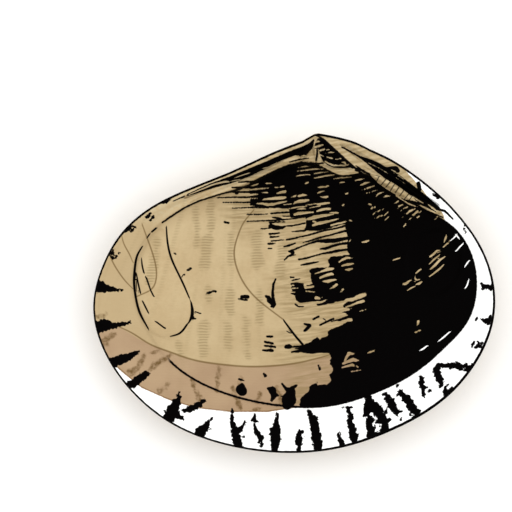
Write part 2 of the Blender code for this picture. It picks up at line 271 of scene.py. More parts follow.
def bowl_height(x, y):
    """Inner side of the wall, a wall's thickness off the outer side."""
    step = 0.0002
    outer = outside_height(x, y)
    slope_x = (outside_height(x + step, y) - outer) / step
    slope_y = (outside_height(x, y + step) - outer) / step
    steep = np.sqrt(1 + np.clip(slope_x**2 + slope_y**2, 0, steepest))
    wall = wall_at_edge + (wall_at_back - wall_at_edge) * smooth_step(-outer, *wall_thickens)
    return outer + wall * steep


def pit_shape(x, y):
    """1 in the three-sided ligament pit, 0 outside it."""
    depth = np.full(x.shape, np.inf)
    for i in range(3):
        (x0, y0), (x1, y1) = pit_corners[i], pit_corners[(i + 1) % 3]
        size = math.hypot(x1 - x0, y1 - y0)
        depth = np.minimum(depth, ((x1 - x0) * (y - y0) - (y1 - y0) * (x - x0)) / size)
    return smooth_step(depth, 0.0, pit_bank)


def inner_height(x, y):
    """Height of the whole inner side, with the hinge plate, teeth, pit and scars."""
    from_x, from_y = x - bowl_middle[0], y - bowl_middle[1]
    angle = np.arctan2(from_y, from_x)
    out = np.hypot(from_x, from_y)
    to_edge = edge_from_middle(angle) - out
    past_line = out - inner_from_middle(angle)
    band = lip_inside_rise - band_slope * np.clip(to_edge - lip_width, 0, None)
    bowl = bowl_height(x, y)
    height = (bowl + band - np.sqrt((bowl - band) ** 2 + band_blend**2)) / 2
    height -= pallial_step * smooth_step(-past_line, -pallial_bank, pallial_bank)
    height -= pallial_groove * np.exp(-((past_line / groove_half_width) ** 2))
    front_side = (x - plate_front_end[0]) + (y - plate_front_end[1])
    hind_side = (plate_hind_end[0] - x) + (y - plate_hind_end[1])
    on_plate = smooth_step(front_side, -plate_fade, plate_fade)
    on_plate *= smooth_step(hind_side, -plate_fade, plate_fade)
    on_plate *= smooth_step(y, bowl_middle[1], bowl_middle[1] + plate_fade)
    shelf = smooth_step(past_line, *shelf_bank) * on_plate
    plate = -plate_sink + (plate_sink + lip_inside_rise) * smooth_step(-to_edge, -plate_bank, -lip_width)
    height = height + (np.maximum(plate, height) - height) * shelf
    for part in hinge_parts:
        height = height + ridge(x, y, **part)
    height = height - pit_depth * pit_shape(x, y)
    for curve in (front_scar_curve, hind_scar_curve):
        height = height - scar_depth * smooth_step(within(x, y, curve), -scar_bank / 2, scar_bank / 2)
    return height


edge_passed = np.concatenate([[0], np.cumsum(np.linalg.norm(np.diff(edge_curve, axis=0), axis=1))])
edge_length = edge_passed[-1]


def edge_at(passed):
    """Points on the edge, each so far round it from the beak."""
    sides = [np.interp(passed, edge_passed, side, period=edge_length) for side in edge_curve.T]
    return np.column_stack(sides)


def edge_direction(passed):
    near = 0.0001
    ahead = edge_at(passed + near) - edge_at(passed - near)
    return ahead / np.linalg.norm(ahead, axis=1)[:, None]


def places_round_edge():
    """How far round the edge the net's points lie, closest together at the beak and along the hinge."""
    middle = (edge_curve[1:] + edge_curve[:-1]) / 2
    crowding = 1 + hinge_crowding * smooth_step(middle[:, 1], *hinge_crowded)
    from_beak = np.hypot(middle[:, 0] - beak_crowded_x, middle[:, 1])
    crowding += beak_crowding * smooth_step(-from_beak, *beak_crowded)
    counted = np.concatenate([[0], np.cumsum(np.diff(edge_passed) * crowding)])
    return np.interp(np.linspace(0, counted[-1], places, endpoint=False), counted, edge_passed)


def sunk(growth):
    """How far the outside lies under the smooth spiral: a step at each winter's pause, and fine ripples."""
    depth = 0.0
    for stage in pause_stages:
        newer = growth - stage * shell_height
        fading = np.exp(-np.clip(newer, 0, None) / pause_fade)
        depth += pause_depth * smooth_step(newer, 0, pause_width) * fading
    sway = ripple_sway * np.sin(growth * 2 * math.pi / ripple_sway_length)
    ripple = ripple_height * np.sin(growth * 2 * math.pi / ripple_length + sway)
    return depth + ripple * smooth_step(growth, *ripple_begins) * (1 - smooth_step(growth, *ripple_ends))


def outside_growth():
    """Size of the shell, beak to gape, at each ring of the outside, closest together at the pauses."""
    growth = list(np.arange(outer_rings_from, outer_rings_to, -outer_ring_gap))
    for stage in pause_stages:
        at_pause = stage * shell_height
        growth = [size for size in growth if not clear_of_pause[0] < size - at_pause < clear_of_pause[1]]
        growth += [at_pause + step for step in pause_rings]
    growth += list(np.arange(beak_rings_from, beak_rings_to, -beak_ring_gap))
    return sorted(growth, reverse=True)


class Net:
    """The valve's rings, from the middle of the bowl over the lip and round the back to the beak."""

    def __init__(self):
        self.rings, self.growth, self.heading = [], [], []

    def add(self, ring, growth, heading):
        self.rings.append(ring)
        self.growth.append(np.full(len(ring), growth * mm))
        self.heading.append(heading)


def heading_of(x, y):
    """Direction from the beak in degrees: 0 straight down to the gape, below zero to the front end."""
    return np.degrees(np.arctan2(x, -y))


net = Net()
passed = places_round_edge()
edge, along_edge = edge_at(passed), edge_direction(passed)
inward = np.stack([-along_edge[:, 1], along_edge[:, 0]], axis=1)
lip_inside = edge + inward * lip_width
to_lip = lip_inside - bowl_middle
lip_angle = np.arctan2(to_lip[:, 1], to_lip[:, 0])
line_share = (inner_from_middle(lip_angle) / np.hypot(to_lip[:, 0], to_lip[:, 1]))[:, None]
edge_heading = heading_of(edge[:, 0], edge[:, 1])

net.add(bowl_middle[None], shell_height, np.zeros(1))
for k in range(1, bowl_rings + band_rings + 1):
    share = min(k / bowl_rings, 1)
    skip = 2 ** sum(share < limit for limit in halving_shares)
    band_share = max(k - bowl_rings, 0) / band_rings
    place = (bowl_middle + (share * line_share + band_share * (1 - line_share)) * to_lip)[::skip]
    net.add(place, shell_height, heading_of(place[:, 0], place[:, 1]))
flat_places = np.concatenate(net.rings)
flat_heights = inner_height(flat_places[:, 0], flat_places[:, 1])
starts = np.cumsum([0] + [len(ring) for ring in net.rings])
net.rings = [np.column_stack([flat_places[a:b], flat_heights[a:b]]) for a, b in zip(starts[:-1], starts[1:])]

for inset in lip_insets:
    if inset > lip_top:
        height = lip_inside_rise + (lip_rise - lip_inside_rise) * smooth_step(-inset, -lip_width, -lip_top)
    else:
        height = lip_rise * math.sqrt(1 - (1 - inset / lip_top) ** 2)
    net.add(np.column_stack([edge + inward * inset, np.full(places, height)]), shell_height, edge_heading)
inner_rings = len(net.rings)

slid, turned = passed, 0.0
for growth in outside_growth():
    turn = -math.log(growth / shell_height) / growth_rate
    slide = min(turn, square_turn) - turned
    slid = slid + slide * growth_rate * (edge_at(slid) * edge_direction(slid)).sum(axis=1)
    turned += slide
    skip = 2 ** (1 + sum(growth <= limit for limit in halving_sizes))
    x, y = edge_at(slid[::skip]).T
    size = (growth - float(sunk(growth))) / shell_height
    ring = size * np.stack([x, y * math.cos(turn), y * math.sin(turn)], axis=1)
    net.add(ring, growth, heading_of(x, y))
tip_size = math.exp(-growth_rate * last_turn)
for share in tip_shares:
    turn = last_turn + share * beak_turn
    x, y = edge_at(slid[::tip_skip]).T
    ring = math.exp(-growth_rate * turn) * np.stack([x, y * math.cos(turn), y * math.sin(turn)], axis=1)
    centre = ring.mean(axis=0)
    closing = math.cos(share * math.pi / 2)
    if share < 1:
        net.add(centre + (ring - centre) * closing, tip_size * shell_height, heading_of(x, y))
    else:
        net.add(centre[None], tip_size * shell_height, np.zeros(1))


def skin(rings):
    """Points and faces of a closed surface over rings with equal, halved or doubled numbers of points."""
    points = np.concatenate(rings)
    starts = np.cumsum([0] + [len(ring) for ring in rings])
    faces, ring_of_face = [], []
    for k in range(len(rings) - 1):
        a, b, m, n = starts[k], starts[k + 1], len(rings[k]), len(rings[k + 1])
        before = len(faces)
        if m == n:
            i = np.arange(m)
            j = (i + 1) % m
            first = np.linalg.norm(points[a + i] - points[b + j], axis=1)
            second = np.linalg.norm(points[b + i] - points[a + j], axis=1)
            short = (first < second)[:, None]
            one = np.where(short, np.stack([a + i, b + i, b + j], 1), np.stack([a + i, b + i, a + j], 1))
            two = np.where(short, np.stack([a + i, b + j, a + j], 1), np.stack([b + i, b + j, a + j], 1))
            faces += one.tolist() + two.tolist()
        for i in range(max(m, n) if m != n else 0):
            j = (i + 1) % max(m, n)
            if m == 1:
                faces.append((a, b + i, b + j))
            elif n == 1:
                faces.append((a + i, b, a + j))
            elif m < n and i % 2 == 0:
                half, turn = i // 2, (i // 2 + 1) % m
                faces.append((a + half, b + i, b + j))
                faces.append((a + half, b + j, a + turn))
                faces.append((a + turn, b + j, b + (i + 2) % n))
            elif m > n and i % 2 == 0:
                half, turn = i // 2, (i // 2 + 1) % n
                faces.append((a + i, b + half, a + j))
                faces.append((a + j, b + half, b + turn))
                faces.append((a + j, b + turn, a + (i + 2) % m))
        ring_of_face += [k] * (len(faces) - before)
    return points, faces, np.array(ring_of_face)


upright, faces, ring_of_face = skin(net.rings)
flat = upright[:, :2].copy()
upper_edge = edge_curve[edge_curve[:, 1] > upper_edge_low]
upper_edge = upper_edge[np.argsort(upper_edge[:, 0])]
edge_above = np.interp(flat[:, 0], *upper_edge.T)
lift = np.interp(flat[:, 0] * mm, *np.array(hinge_lift).T) / mm
lift_share = smooth_step(flat[:, 1] - edge_above, -lift_reach, 0)
upright[:, 1] += lift * lift_share * smooth_step(upright[:, 2], -lift_depth, lift_top)
over = upright[:, 1] - (edge_above + lift)
upright[:, 1] -= np.where(over > 0, over * beak_press, 0)
lean = np.array(Matrix.Rotation(lean_side, 3, "Y") @ Matrix.Rotation(lean_back, 3, "X"))
laid = upright @ lean.T
laid[:, 2] = np.maximum(laid[:, 2], laid[:, 2].min() + worn_depth)
low, high = laid.min(axis=0), laid.max(axis=0)
rest_place = np.array([(low[0] + high[0]) / 2, (low[1] + high[1]) / 2, low[2]])
laid = laid - rest_place
mesh = bpy.data.meshes.new("shell")
mesh.from_pydata(laid.tolist(), [], faces)
mesh.shade_smooth()
shell = bpy.data.objects.new("shell", mesh)
bpy.context.scene.collection.objects.link(shell)

# What is drawn on the inside, in millimetres of the valve's own frame. A stroke is a list of places, each
# with x, y and the stroke's width there. These are the dark flames in which the rays end on the margin.
margin_marks = [
    [(-38.2, -24.8, 2.43), (-36.5, -25.2, 1.39), (-35.1, -25.4, 0.69), (-33.6, -25.6, 0.17)],
    [(-38.1, -32.0, 2.08), (-36.8, -31.6, 2.08), (-35.4, -31.8, 1.04), (-33.7, -31.4, 0.69),
     (-32.3, -31.2, 0.43)],
    [(-35.4, -38.2, 1.74), (-34.2, -37.7, 1.74), (-33.0, -37.3, 1.39), (-31.8, -36.8, 0.87),
     (-30.7, -36.2, 0.35)],
    [(-32.7, -42.2, 1.39), (-31.3, -41.5, 1.39), (-30.2, -40.6, 1.22), (-29.4, -40.1, 1.04)],
    [(-25.5, -47.6, 2.08), (-24.8, -46.2, 2.08), (-24.1, -44.8, 1.22), (-23.7, -43.4, 0.35)],
    [(-26.1, -46.5, 0.35), (-25.2, -46.7, 1.39), (-23.1, -47.9, 0.52)],
    [(-22.9, -46.5, 0.69), (-21.5, -46.0, 1.22), (-20.1, -45.3, 1.04), (-19.4, -44.7, 0.52)],
    [(-20.1, -50.2, 1.91), (-19.3, -49.3, 1.39), (-18.6, -48.4, 0.52), (-18.1, -47.9, 0.43)],
    [(-19.1, -49.3, 0.52), (-18.4, -49.6, 0.35)],
    [(-13.4, -53.3, 1.74), (-13.7, -51.7, 1.56), (-14.1, -50.0, 1.22), (-14.6, -48.4, 0.69),
     (-14.5, -46.4, 0.43)],
    [(-13.9, -50.4, 0.87), (-13.0, -49.5, 0.69), (-12.2, -48.4, 0.43)],
    [(-13.5, -51.2, 0.35), (-12.3, -50.9, 0.26)],
    [(-10.7, -47.1, 0.17), (-10.8, -48.1, 0.87), (-10.2, -48.4, 0.17)],
    [(-10.7, -49.0, 0.43), (-10.3, -50.4, 0.87), (-9.5, -51.1, 0.87), (-9.9, -52.0, 0.35),
     (-9.3, -52.3, 0.43), (-9.6, -52.9, 0.43)],
    [(-6.8, -47.1, 0.52), (-6.8, -48.6, 0.87), (-7.1, -50.0, 1.91), (-7.0, -51.7, 1.74),
     (-7.2, -53.5, 1.04)],
    [(-2.8, -49.7, 0.35), (-3.0, -51.1, 1.04), (-3.0, -51.9, 1.39), (-3.0, -52.8, 0.52),
     (-3.0, -53.5, 0.87)],
    [(-2.4, -50.0, 0.21), (-2.1, -51.1, 0.21)],
    [(-1.4, -46.5, 0.52), (-0.4, -48.1, 1.56), (-0.2, -49.8, 1.56), (0.2, -51.7, 1.74), (0.3, -53.1, 1.39)],
    [(3.9, -50.2, 0.35), (4.2, -51.4, 0.87), (4.5, -52.4, 1.22)],
    [(28.8, -24.5, 0.35), (29.0, -25.3, 0.52)],
    [(29.0, -24.9, 0.87), (29.9, -24.9, 0.87), (30.5, -25.0, 0.87)],
    [(30.5, -24.3, 0.26), (30.5, -25.5, 0.26)], [(4.8, -45.9, 0.3), (6.2, -45.9, 0.3)],
    [(5.6, -46.4, 0.69), (5.9, -47.2, 0.9), (6.0, -47.7, 1.08), (5.8, -48.3, 0.83), (6.0, -49.0, 1.22),
     (6.3, -49.7, 1.39), (6.4, -50.7, 1.39), (6.6, -51.6, 1.22)],
    [(7.3, -50.5, 0.28), (7.4, -50.9, 0.28)],
    [(8.9, -43.1, 1.13), (9.0, -44.1, 1.13), (9.2, -44.8, 1.39), (9.6, -45.3, 1.56)],
    [(8.9, -45.7, 1.22), (8.9, -46.4, 1.29), (8.6, -47.2, 0.87)],
    [(9.7, -45.5, 1.74), (10.5, -46.2, 2.08), (10.9, -46.7, 1.91), (11.2, -47.4, 1.39), (11.5, -48.1, 1.56),
     (11.6, -48.8, 1.22)],
    [(9.3, -47.8, 1.04), (9.4, -48.1, 1.56), (9.3, -48.6, 1.22), (9.4, -49.3, 1.39), (9.6, -50.2, 1.56),
     (9.7, -51.1, 1.74)],
    [(11.9, -47.1, 0.63), (11.8, -47.9, 1.22), (12.0, -49.0, 1.22), (12.0, -50.0, 1.56),
     (11.8, -50.9, 1.56)],
    [(10.6, -48.4, 0.87), (11.1, -48.1, 1.04)], [(10.2, -49.4, 0.52), (9.9, -49.8, 1.04)],
    [(10.2, -50.6, 1.04), (11.5, -50.8, 1.22), (12.5, -50.4, 0.87)],
    [(12.2, -48.0, 0.49), (12.9, -48.0, 0.42)], [(12.1, -46.5, 0.42), (12.2, -46.8, 0.38)],
    [(11.6, -43.8, 0.31), (12.2, -43.5, 0.59), (12.5, -44.4, 1.09), (12.9, -45.0, 1.32),
     (13.3, -45.7, 1.42), (13.7, -46.3, 1.22), (14.0, -46.8, 0.87), (14.2, -47.4, 0.35)],
    [(12.9, -44.6, 0.69), (13.4, -44.7, 0.52)], [(14.2, -46.8, 0.52), (14.9, -46.6, 0.23)],
    [(14.7, -48.1, 0.3), (14.9, -47.7, 0.33)], [(14.2, -42.1, 0.49), (14.2, -42.2, 0.49)],
    [(14.2, -43.6, 0.49), (14.9, -43.2, 0.69), (15.0, -43.7, 1.04)],
    [(15.3, -44.1, 1.22), (15.9, -44.6, 1.42), (16.5, -45.5, 1.53), (17.0, -46.4, 1.56),
     (17.5, -46.7, 1.13)],
    [(15.8, -44.0, 0.59), (16.2, -44.0, 0.59)], [(17.5, -46.6, 1.04), (18.2, -46.6, 0.33)],
    [(16.9, -47.6, 0.26), (17.4, -47.1, 0.52)], [(16.3, -47.3, 0.23), (16.8, -47.1, 0.42)],
    [(18.0, -40.5, 0.45), (18.5, -41.0, 0.8), (18.2, -41.7, 0.76), (18.5, -42.4, 0.97), (18.7, -43.1, 0.49),
     (18.7, -43.7, 0.8)],
    [(18.6, -42.5, 0.59), (19.4, -42.4, 0.23)], [(19.6, -43.2, 0.33), (19.9, -42.9, 0.33)],
    [(21.2, -38.7, 0.94), (20.9, -39.4, 1.22), (21.2, -40.3, 1.25), (21.5, -41.1, 1.29),
     (21.7, -41.8, 0.94), (21.6, -42.4, 0.35)],
    [(21.2, -38.6, 0.87), (22.2, -38.6, 0.8), (23.3, -38.6, 1.08), (24.3, -38.6, 1.11), (25.1, -38.9, 1.15),
     (25.6, -38.8, 0.69), (26.2, -38.3, 0.3)],
    [(25.9, -39.5, 0.49), (26.6, -39.2, 1.11), (27.1, -38.7, 0.83)],
    [(26.9, -39.1, 1.22), (26.7, -39.8, 0.96), (26.5, -40.3, 0.59)],
    [(23.0, -41.9, 0.26), (22.5, -42.5, 0.36), (22.1, -43.1, 0.42)],
    [(23.6, -42.4, 0.4), (23.0, -43.1, 0.63), (22.6, -43.6, 0.87)],
    [(22.1, -43.1, 0.42), (22.6, -43.8, 0.78), (23.1, -43.7, 0.87), (23.6, -43.2, 0.42)],
    [(27.0, -35.4, 0.3), (27.3, -34.8, 0.52), (27.5, -34.5, 0.28)],
    [(28.1, -34.5, 0.3), (28.1, -35.0, 0.59)],
    [(27.7, -35.4, 0.63), (28.3, -35.3, 0.83), (28.7, -35.2, 0.73)],
    [(28.8, -34.6, 0.33), (28.8, -35.2, 0.45)],
    [(28.7, -30.6, 0.26), (29.2, -30.8, 0.69), (29.8, -30.9, 1.22), (30.1, -30.7, 0.83)],
    [(30.3, -30.0, 0.3), (30.3, -30.6, 0.4), (30.1, -31.2, 0.42)],
    [(27.9, -30.5, 0.57), (27.9, -30.5, 0.57)],
    [(25.8, -14.1, 0.28), (25.8, -14.7, 0.3), (25.9, -15.5, 0.28)],
    [(20.5, -8.9, 0.43), (21.2, -9.4, 0.69)], [(-29.4, -12.9, 0.38), (-28.8, -12.3, 0.56)],
    [(-28.7, -13.3, 0.33), (-28.2, -12.7, 0.42)],
    [(-33.3, -15.4, 0.42), (-32.7, -14.9, 0.66), (-32.1, -14.5, 0.69)],
    [(-32.1, -15.3, 0.42), (-31.4, -14.7, 0.38)],
    [(-36.0, -19.1, 0.49), (-35.4, -19.6, 0.63), (-35.2, -20.0, 0.3)],
    [(-34.8, -19.9, 0.36), (-34.3, -19.2, 0.36)], [(-35.3, -19.1, 0.35), (-35.2, -18.5, 0.31)],
    [(-26.8, -10.4, 0.45), (-26.1, -10.0, 0.94), (-25.4, -9.5, 0.45)],
    [(-31.2, -12.9, 0.76), (-30.6, -12.4, 0.59)],
]

# The outlines of the front muscle's scar with its few striae, and of the bay into which the siphons drew back
scar_lines = [
    [(-30.2, -18.0, 0.21), (-31.0, -19.4, 0.31), (-31.4, -21.2, 0.35), (-31.6, -24.0, 0.38),
     (-31.3, -26.8, 0.35), (-30.6, -29.5, 0.35), (-29.1, -32.3, 0.21)],
    [(-26.0, -14.6, 0.21), (-25.8, -17.1, 0.28), (-25.2, -19.8, 0.31), (-24.0, -22.5, 0.28),
     (-22.9, -24.8, 0.28), (-22.0, -26.9, 0.21)],
    [(-21.7, -27.6, 0.23), (-21.5, -28.8, 0.42), (-21.6, -30.2, 0.45), (-22.1, -31.2, 0.21)],
    [(-22.4, -31.5, 0.28), (-23.1, -32.5, 0.31), (-23.8, -33.1, 0.28), (-25.3, -33.6, 0.21)],
    [(-21.6, -30.5, 0.26), (-21.0, -30.5, 0.24)], [(-20.9, -29.3, 0.17), (-20.1, -29.6, 0.21)],
    [(-30.3, -20.1, 0.16), (-30.2, -21.2, 0.24), (-29.9, -22.5, 0.24)],
    [(-29.5, -23.3, 0.26), (-28.8, -25.3, 0.24)], [(-28.6, -25.8, 0.23), (-28.2, -26.6, 0.23)],
    [(-31.2, -22.6, 0.17), (-30.9, -24.3, 0.26), (-30.5, -26.0, 0.24)],
    [(-30.1, -27.5, 0.21), (-29.6, -28.5, 0.26), (-29.1, -29.5, 0.21)],
    [(-27.8, -31.0, 0.23), (-26.2, -32.2, 0.24)], [(-27.8, -14.8, 0.28), (-28.5, -15.4, 0.28)],
    [(-28.9, -15.8, 0.21), (-29.3, -16.4, 0.21)],
]
bay_lines = [
    [(-7.1, -23.8, 0.21), (-7.5, -25.2, 0.28), (-7.6, -26.7, 0.28), (-7.3, -28.3, 0.31)],
    [(-8.3, -27.4, 0.43), (-7.6, -27.8, 0.69), (-7.5, -28.4, 0.35)],
    [(-5.6, -30.8, 0.23), (-4.5, -32.3, 0.31), (-3.5, -33.6, 0.33), (-2.3, -35.0, 0.35)],
    [(-5.0, -32.7, 0.17), (-4.5, -33.0, 0.17)],
]

# Dark flecks on the bowl and on the band, and painted shade: the streaks in front of the dark hind part
flecks = [
    [(-15.9, -13.7, 0.37), (-15.2, -13.9, 0.37)], [(-24.8, -18.8, 0.3), (-24.4, -19.3, 0.3)],
    [(-22.6, -22.2, 0.26), (-21.8, -21.8, 0.52)], [(-23.3, -23.2, 0.3), (-22.7, -22.7, 0.3)],
    [(-19.1, -26.2, 0.32), (-18.3, -25.9, 0.44)], [(-17.9, -25.7, 0.32), (-17.4, -25.8, 0.44)],
    [(-12.9, -26.7, 0.54), (-11.9, -26.7, 0.68)], [(-13.5, -27.1, 0.26), (-11.9, -27.3, 0.26)],
    [(-12.9, -41.8, 0.52), (-13.0, -42.8, 1.83), (-12.8, -43.1, 1.65)],
    [(-13.4, -41.0, 0.35), (-12.6, -41.2, 0.3)],
    [(-8.3, -42.6, 0.52), (-7.6, -42.9, 1.31), (-7.3, -43.9, 0.96), (-7.7, -44.7, 0.44)],
    [(-7.5, -43.6, 0.78), (-6.6, -43.8, 0.44)],
    [(-5.9, -41.8, 0.35), (-5.2, -42.7, 0.52), (-4.3, -43.2, 1.48), (-4.7, -44.6, 2.52),
     (-5.0, -45.5, 1.65)],
    [(-4.3, -42.7, 0.78), (-3.3, -42.0, 0.35)], [(-9.0, -40.1, 0.44), (-8.8, -40.4, 0.61)],
    [(0.5, -38.6, 0.37), (0.7, -39.3, 0.44)], [(-8.5, -33.6, 0.35), (-7.6, -33.6, 0.37)],
    [(-8.9, -34.5, 0.35), (-7.5, -34.8, 0.4)], [(-8.9, -35.2, 0.32), (-7.1, -35.4, 0.37)],
    [(-9.2, -36.0, 0.32), (-7.6, -36.0, 0.54)], [(-5.2, -35.4, 0.65), (-4.7, -35.3, 0.87)],
    [(-4.2, -36.3, 0.26), (-2.8, -36.0, 0.37), (-0.7, -35.9, 0.26)],
    [(-4.2, -35.4, 0.26), (-2.3, -35.3, 0.44)],
    [(-2.0, -31.4, 0.3), (-1.1, -31.7, 0.61), (-1.7, -32.4, 0.52), (-2.0, -32.6, 0.35)],
    [(-0.5, -30.6, 0.3), (0.5, -30.1, 0.37)], [(0.7, -31.6, 0.3), (3.0, -30.5, 0.37)],
]
shade_hatching = [
    [(-17.2, -9.5, 0.16), (-14.6, -9.4, 0.24), (-11.5, -9.4, 0.31)],
    [(-16.2, -10.3, 0.16), (-13.5, -10.3, 0.23), (-11.1, -10.3, 0.31)],
    [(-14.6, -11.3, 0.16), (-11.5, -11.2, 0.23), (-8.3, -11.2, 0.28)],
    [(-15.6, -8.5, 0.17), (-13.5, -8.5, 0.31), (-11.3, -8.5, 0.35)],
    [(-14.6, -7.7, 0.21), (-12.9, -7.7, 0.35), (-11.3, -7.7, 0.38)],
    [(-13.9, -8.7, 0.43), (-13.7, -8.7, 0.43)],
    [(-13.5, -6.8, 0.17), (-12.2, -6.7, 0.28), (-10.9, -6.7, 0.35)],
    [(-12.0, -12.4, 0.21), (-10.1, -12.4, 0.24), (-8.3, -12.3, 0.14)],
    [(-7.8, -12.2, 0.28), (-6.3, -12.1, 0.31), (-4.3, -12.0, 0.31)],
    [(-12.0, -13.6, 0.17), (-9.4, -13.5, 0.23), (-7.1, -13.4, 0.26), (-4.5, -13.2, 0.21),
     (-1.9, -12.8, 0.24)],
    [(-7.6, -12.9, 0.17), (-6.9, -13.0, 0.42), (-6.1, -13.1, 0.28)],
    [(-5.9, -12.7, 0.16), (-4.3, -12.7, 0.19)],
    [(-8.0, -13.8, 0.33), (-6.6, -13.7, 0.23), (-5.4, -13.7, 0.17)],
    [(-7.9, -14.4, 0.69), (-6.9, -14.7, 0.8), (-5.9, -14.7, 0.52), (-5.2, -14.4, 0.21)],
    [(-7.8, -13.8, 0.28), (-7.8, -14.4, 0.38)],
    [(-5.4, -14.4, 0.17), (-4.5, -14.4, 0.28), (-3.3, -14.2, 0.24), (-1.9, -13.9, 0.28)],
    [(-9.6, -14.9, 0.23), (-8.0, -14.8, 0.17)],
    [(-8.1, -15.8, 0.33), (-7.1, -15.7, 0.3), (-6.2, -15.6, 0.14)],
    [(-7.9, -16.3, 0.36), (-7.1, -16.3, 0.26), (-6.4, -16.2, 0.14)],
    [(-7.8, -17.0, 0.24), (-6.6, -16.9, 0.21), (-5.6, -16.8, 0.14)],
    [(-8.3, -17.5, 0.33), (-7.6, -17.5, 0.28), (-7.1, -17.4, 0.14)],
    [(-8.3, -18.3, 0.24), (-7.6, -18.3, 0.16)],
    [(-4.2, -15.4, 0.14), (-3.1, -15.3, 0.26), (-1.9, -15.2, 0.31)],
    [(-5.1, -16.8, 0.28), (-4.0, -16.6, 0.33), (-2.8, -16.3, 0.23), (-1.4, -16.0, 0.28), (0.0, -15.6, 0.3),
     (1.4, -15.2, 0.3), (3.1, -14.9, 0.28), (5.0, -14.4, 0.38)],
    [(0.3, -15.1, 0.21), (1.6, -14.8, 0.28), (2.8, -14.6, 0.17)],
    [(-2.3, -17.3, 0.12), (-1.2, -17.0, 0.26), (0.7, -16.4, 0.3), (2.4, -16.0, 0.26), (4.2, -15.5, 0.35),
     (5.4, -15.2, 0.42)],
    [(-5.6, -18.0, 0.21), (-4.7, -17.8, 0.38), (-3.6, -17.4, 0.21)],
    [(-4.7, -18.8, 0.26), (-3.6, -18.4, 0.3), (-2.4, -17.9, 0.24), (-1.0, -17.4, 0.26), (0.3, -17.0, 0.42),
     (1.7, -17.0, 0.73), (3.5, -16.9, 0.73), (5.4, -16.5, 0.52)],
    [(-4.6, -18.8, 0.35), (-4.0, -19.0, 0.52), (-4.2, -19.4, 0.42), (-4.9, -19.7, 0.3), (-5.5, -20.3, 0.21)],
    [(-4.2, -19.5, 0.19), (-3.6, -19.4, 0.14)],
    [(0.7, -18.4, 0.21), (1.7, -18.3, 0.47), (2.8, -17.9, 0.47), (4.2, -17.5, 0.38), (5.4, -17.4, 0.43)],
    [(-3.0, -20.2, 0.28), (-1.7, -20.0, 0.33), (-0.3, -19.6, 0.23), (1.0, -19.2, 0.26), (2.4, -19.0, 0.43),
     (3.8, -18.7, 0.47), (5.4, -18.5, 0.35)],
    [(-2.6, -21.2, 0.21), (-1.6, -21.0, 0.38), (-0.5, -20.8, 0.35), (0.5, -20.6, 0.14)],
    [(-4.4, -23.3, 0.3), (-3.8, -23.3, 0.21)],
    [(-4.2, -23.9, 0.17), (-3.5, -23.7, 0.26), (-2.8, -23.6, 0.14)],
    [(-7.0, -23.6, 0.21), (-7.4, -24.5, 0.4), (-7.5, -25.9, 0.36), (-7.3, -27.1, 0.3), (-7.1, -27.9, 0.35),
     (-7.3, -28.4, 0.35), (-7.8, -28.4, 0.33)],
    [(-8.7, -26.6, 0.43), (-8.3, -26.8, 0.69), (-8.0, -27.1, 0.56), (-7.8, -27.5, 0.26)],
    [(-3.6, -28.0, 0.28), (-3.0, -28.4, 0.23), (-2.1, -28.4, 0.17)],
    [(2.6, -31.0, 0.16), (4.2, -30.6, 0.28), (5.6, -30.1, 0.31)], [(1.3, -30.5, 0.21), (1.6, -30.7, 0.17)],
    [(-20.7, -8.5, 0.26), (-22.2, -9.0, 0.21)], [(-22.8, -9.2, 0.23), (-24.8, -10.1, 0.19)],
    [(-32.1, -13.7, 0.17), (-31.1, -12.8, 0.52), (-30.1, -12.0, 0.17)],
    [(-27.4, -10.5, 0.17), (-26.4, -9.9, 0.52), (-25.4, -9.4, 0.17)],
    [(6.9, -3.9, 0.17), (8.7, -5.1, 0.28), (9.7, -5.6, 0.21), (10.8, -5.9, 0.14)],
    [(11.8, -4.4, 0.26), (13.2, -4.3, 0.56), (13.9, -4.4, 0.83), (14.2, -4.8, 0.73)],
]
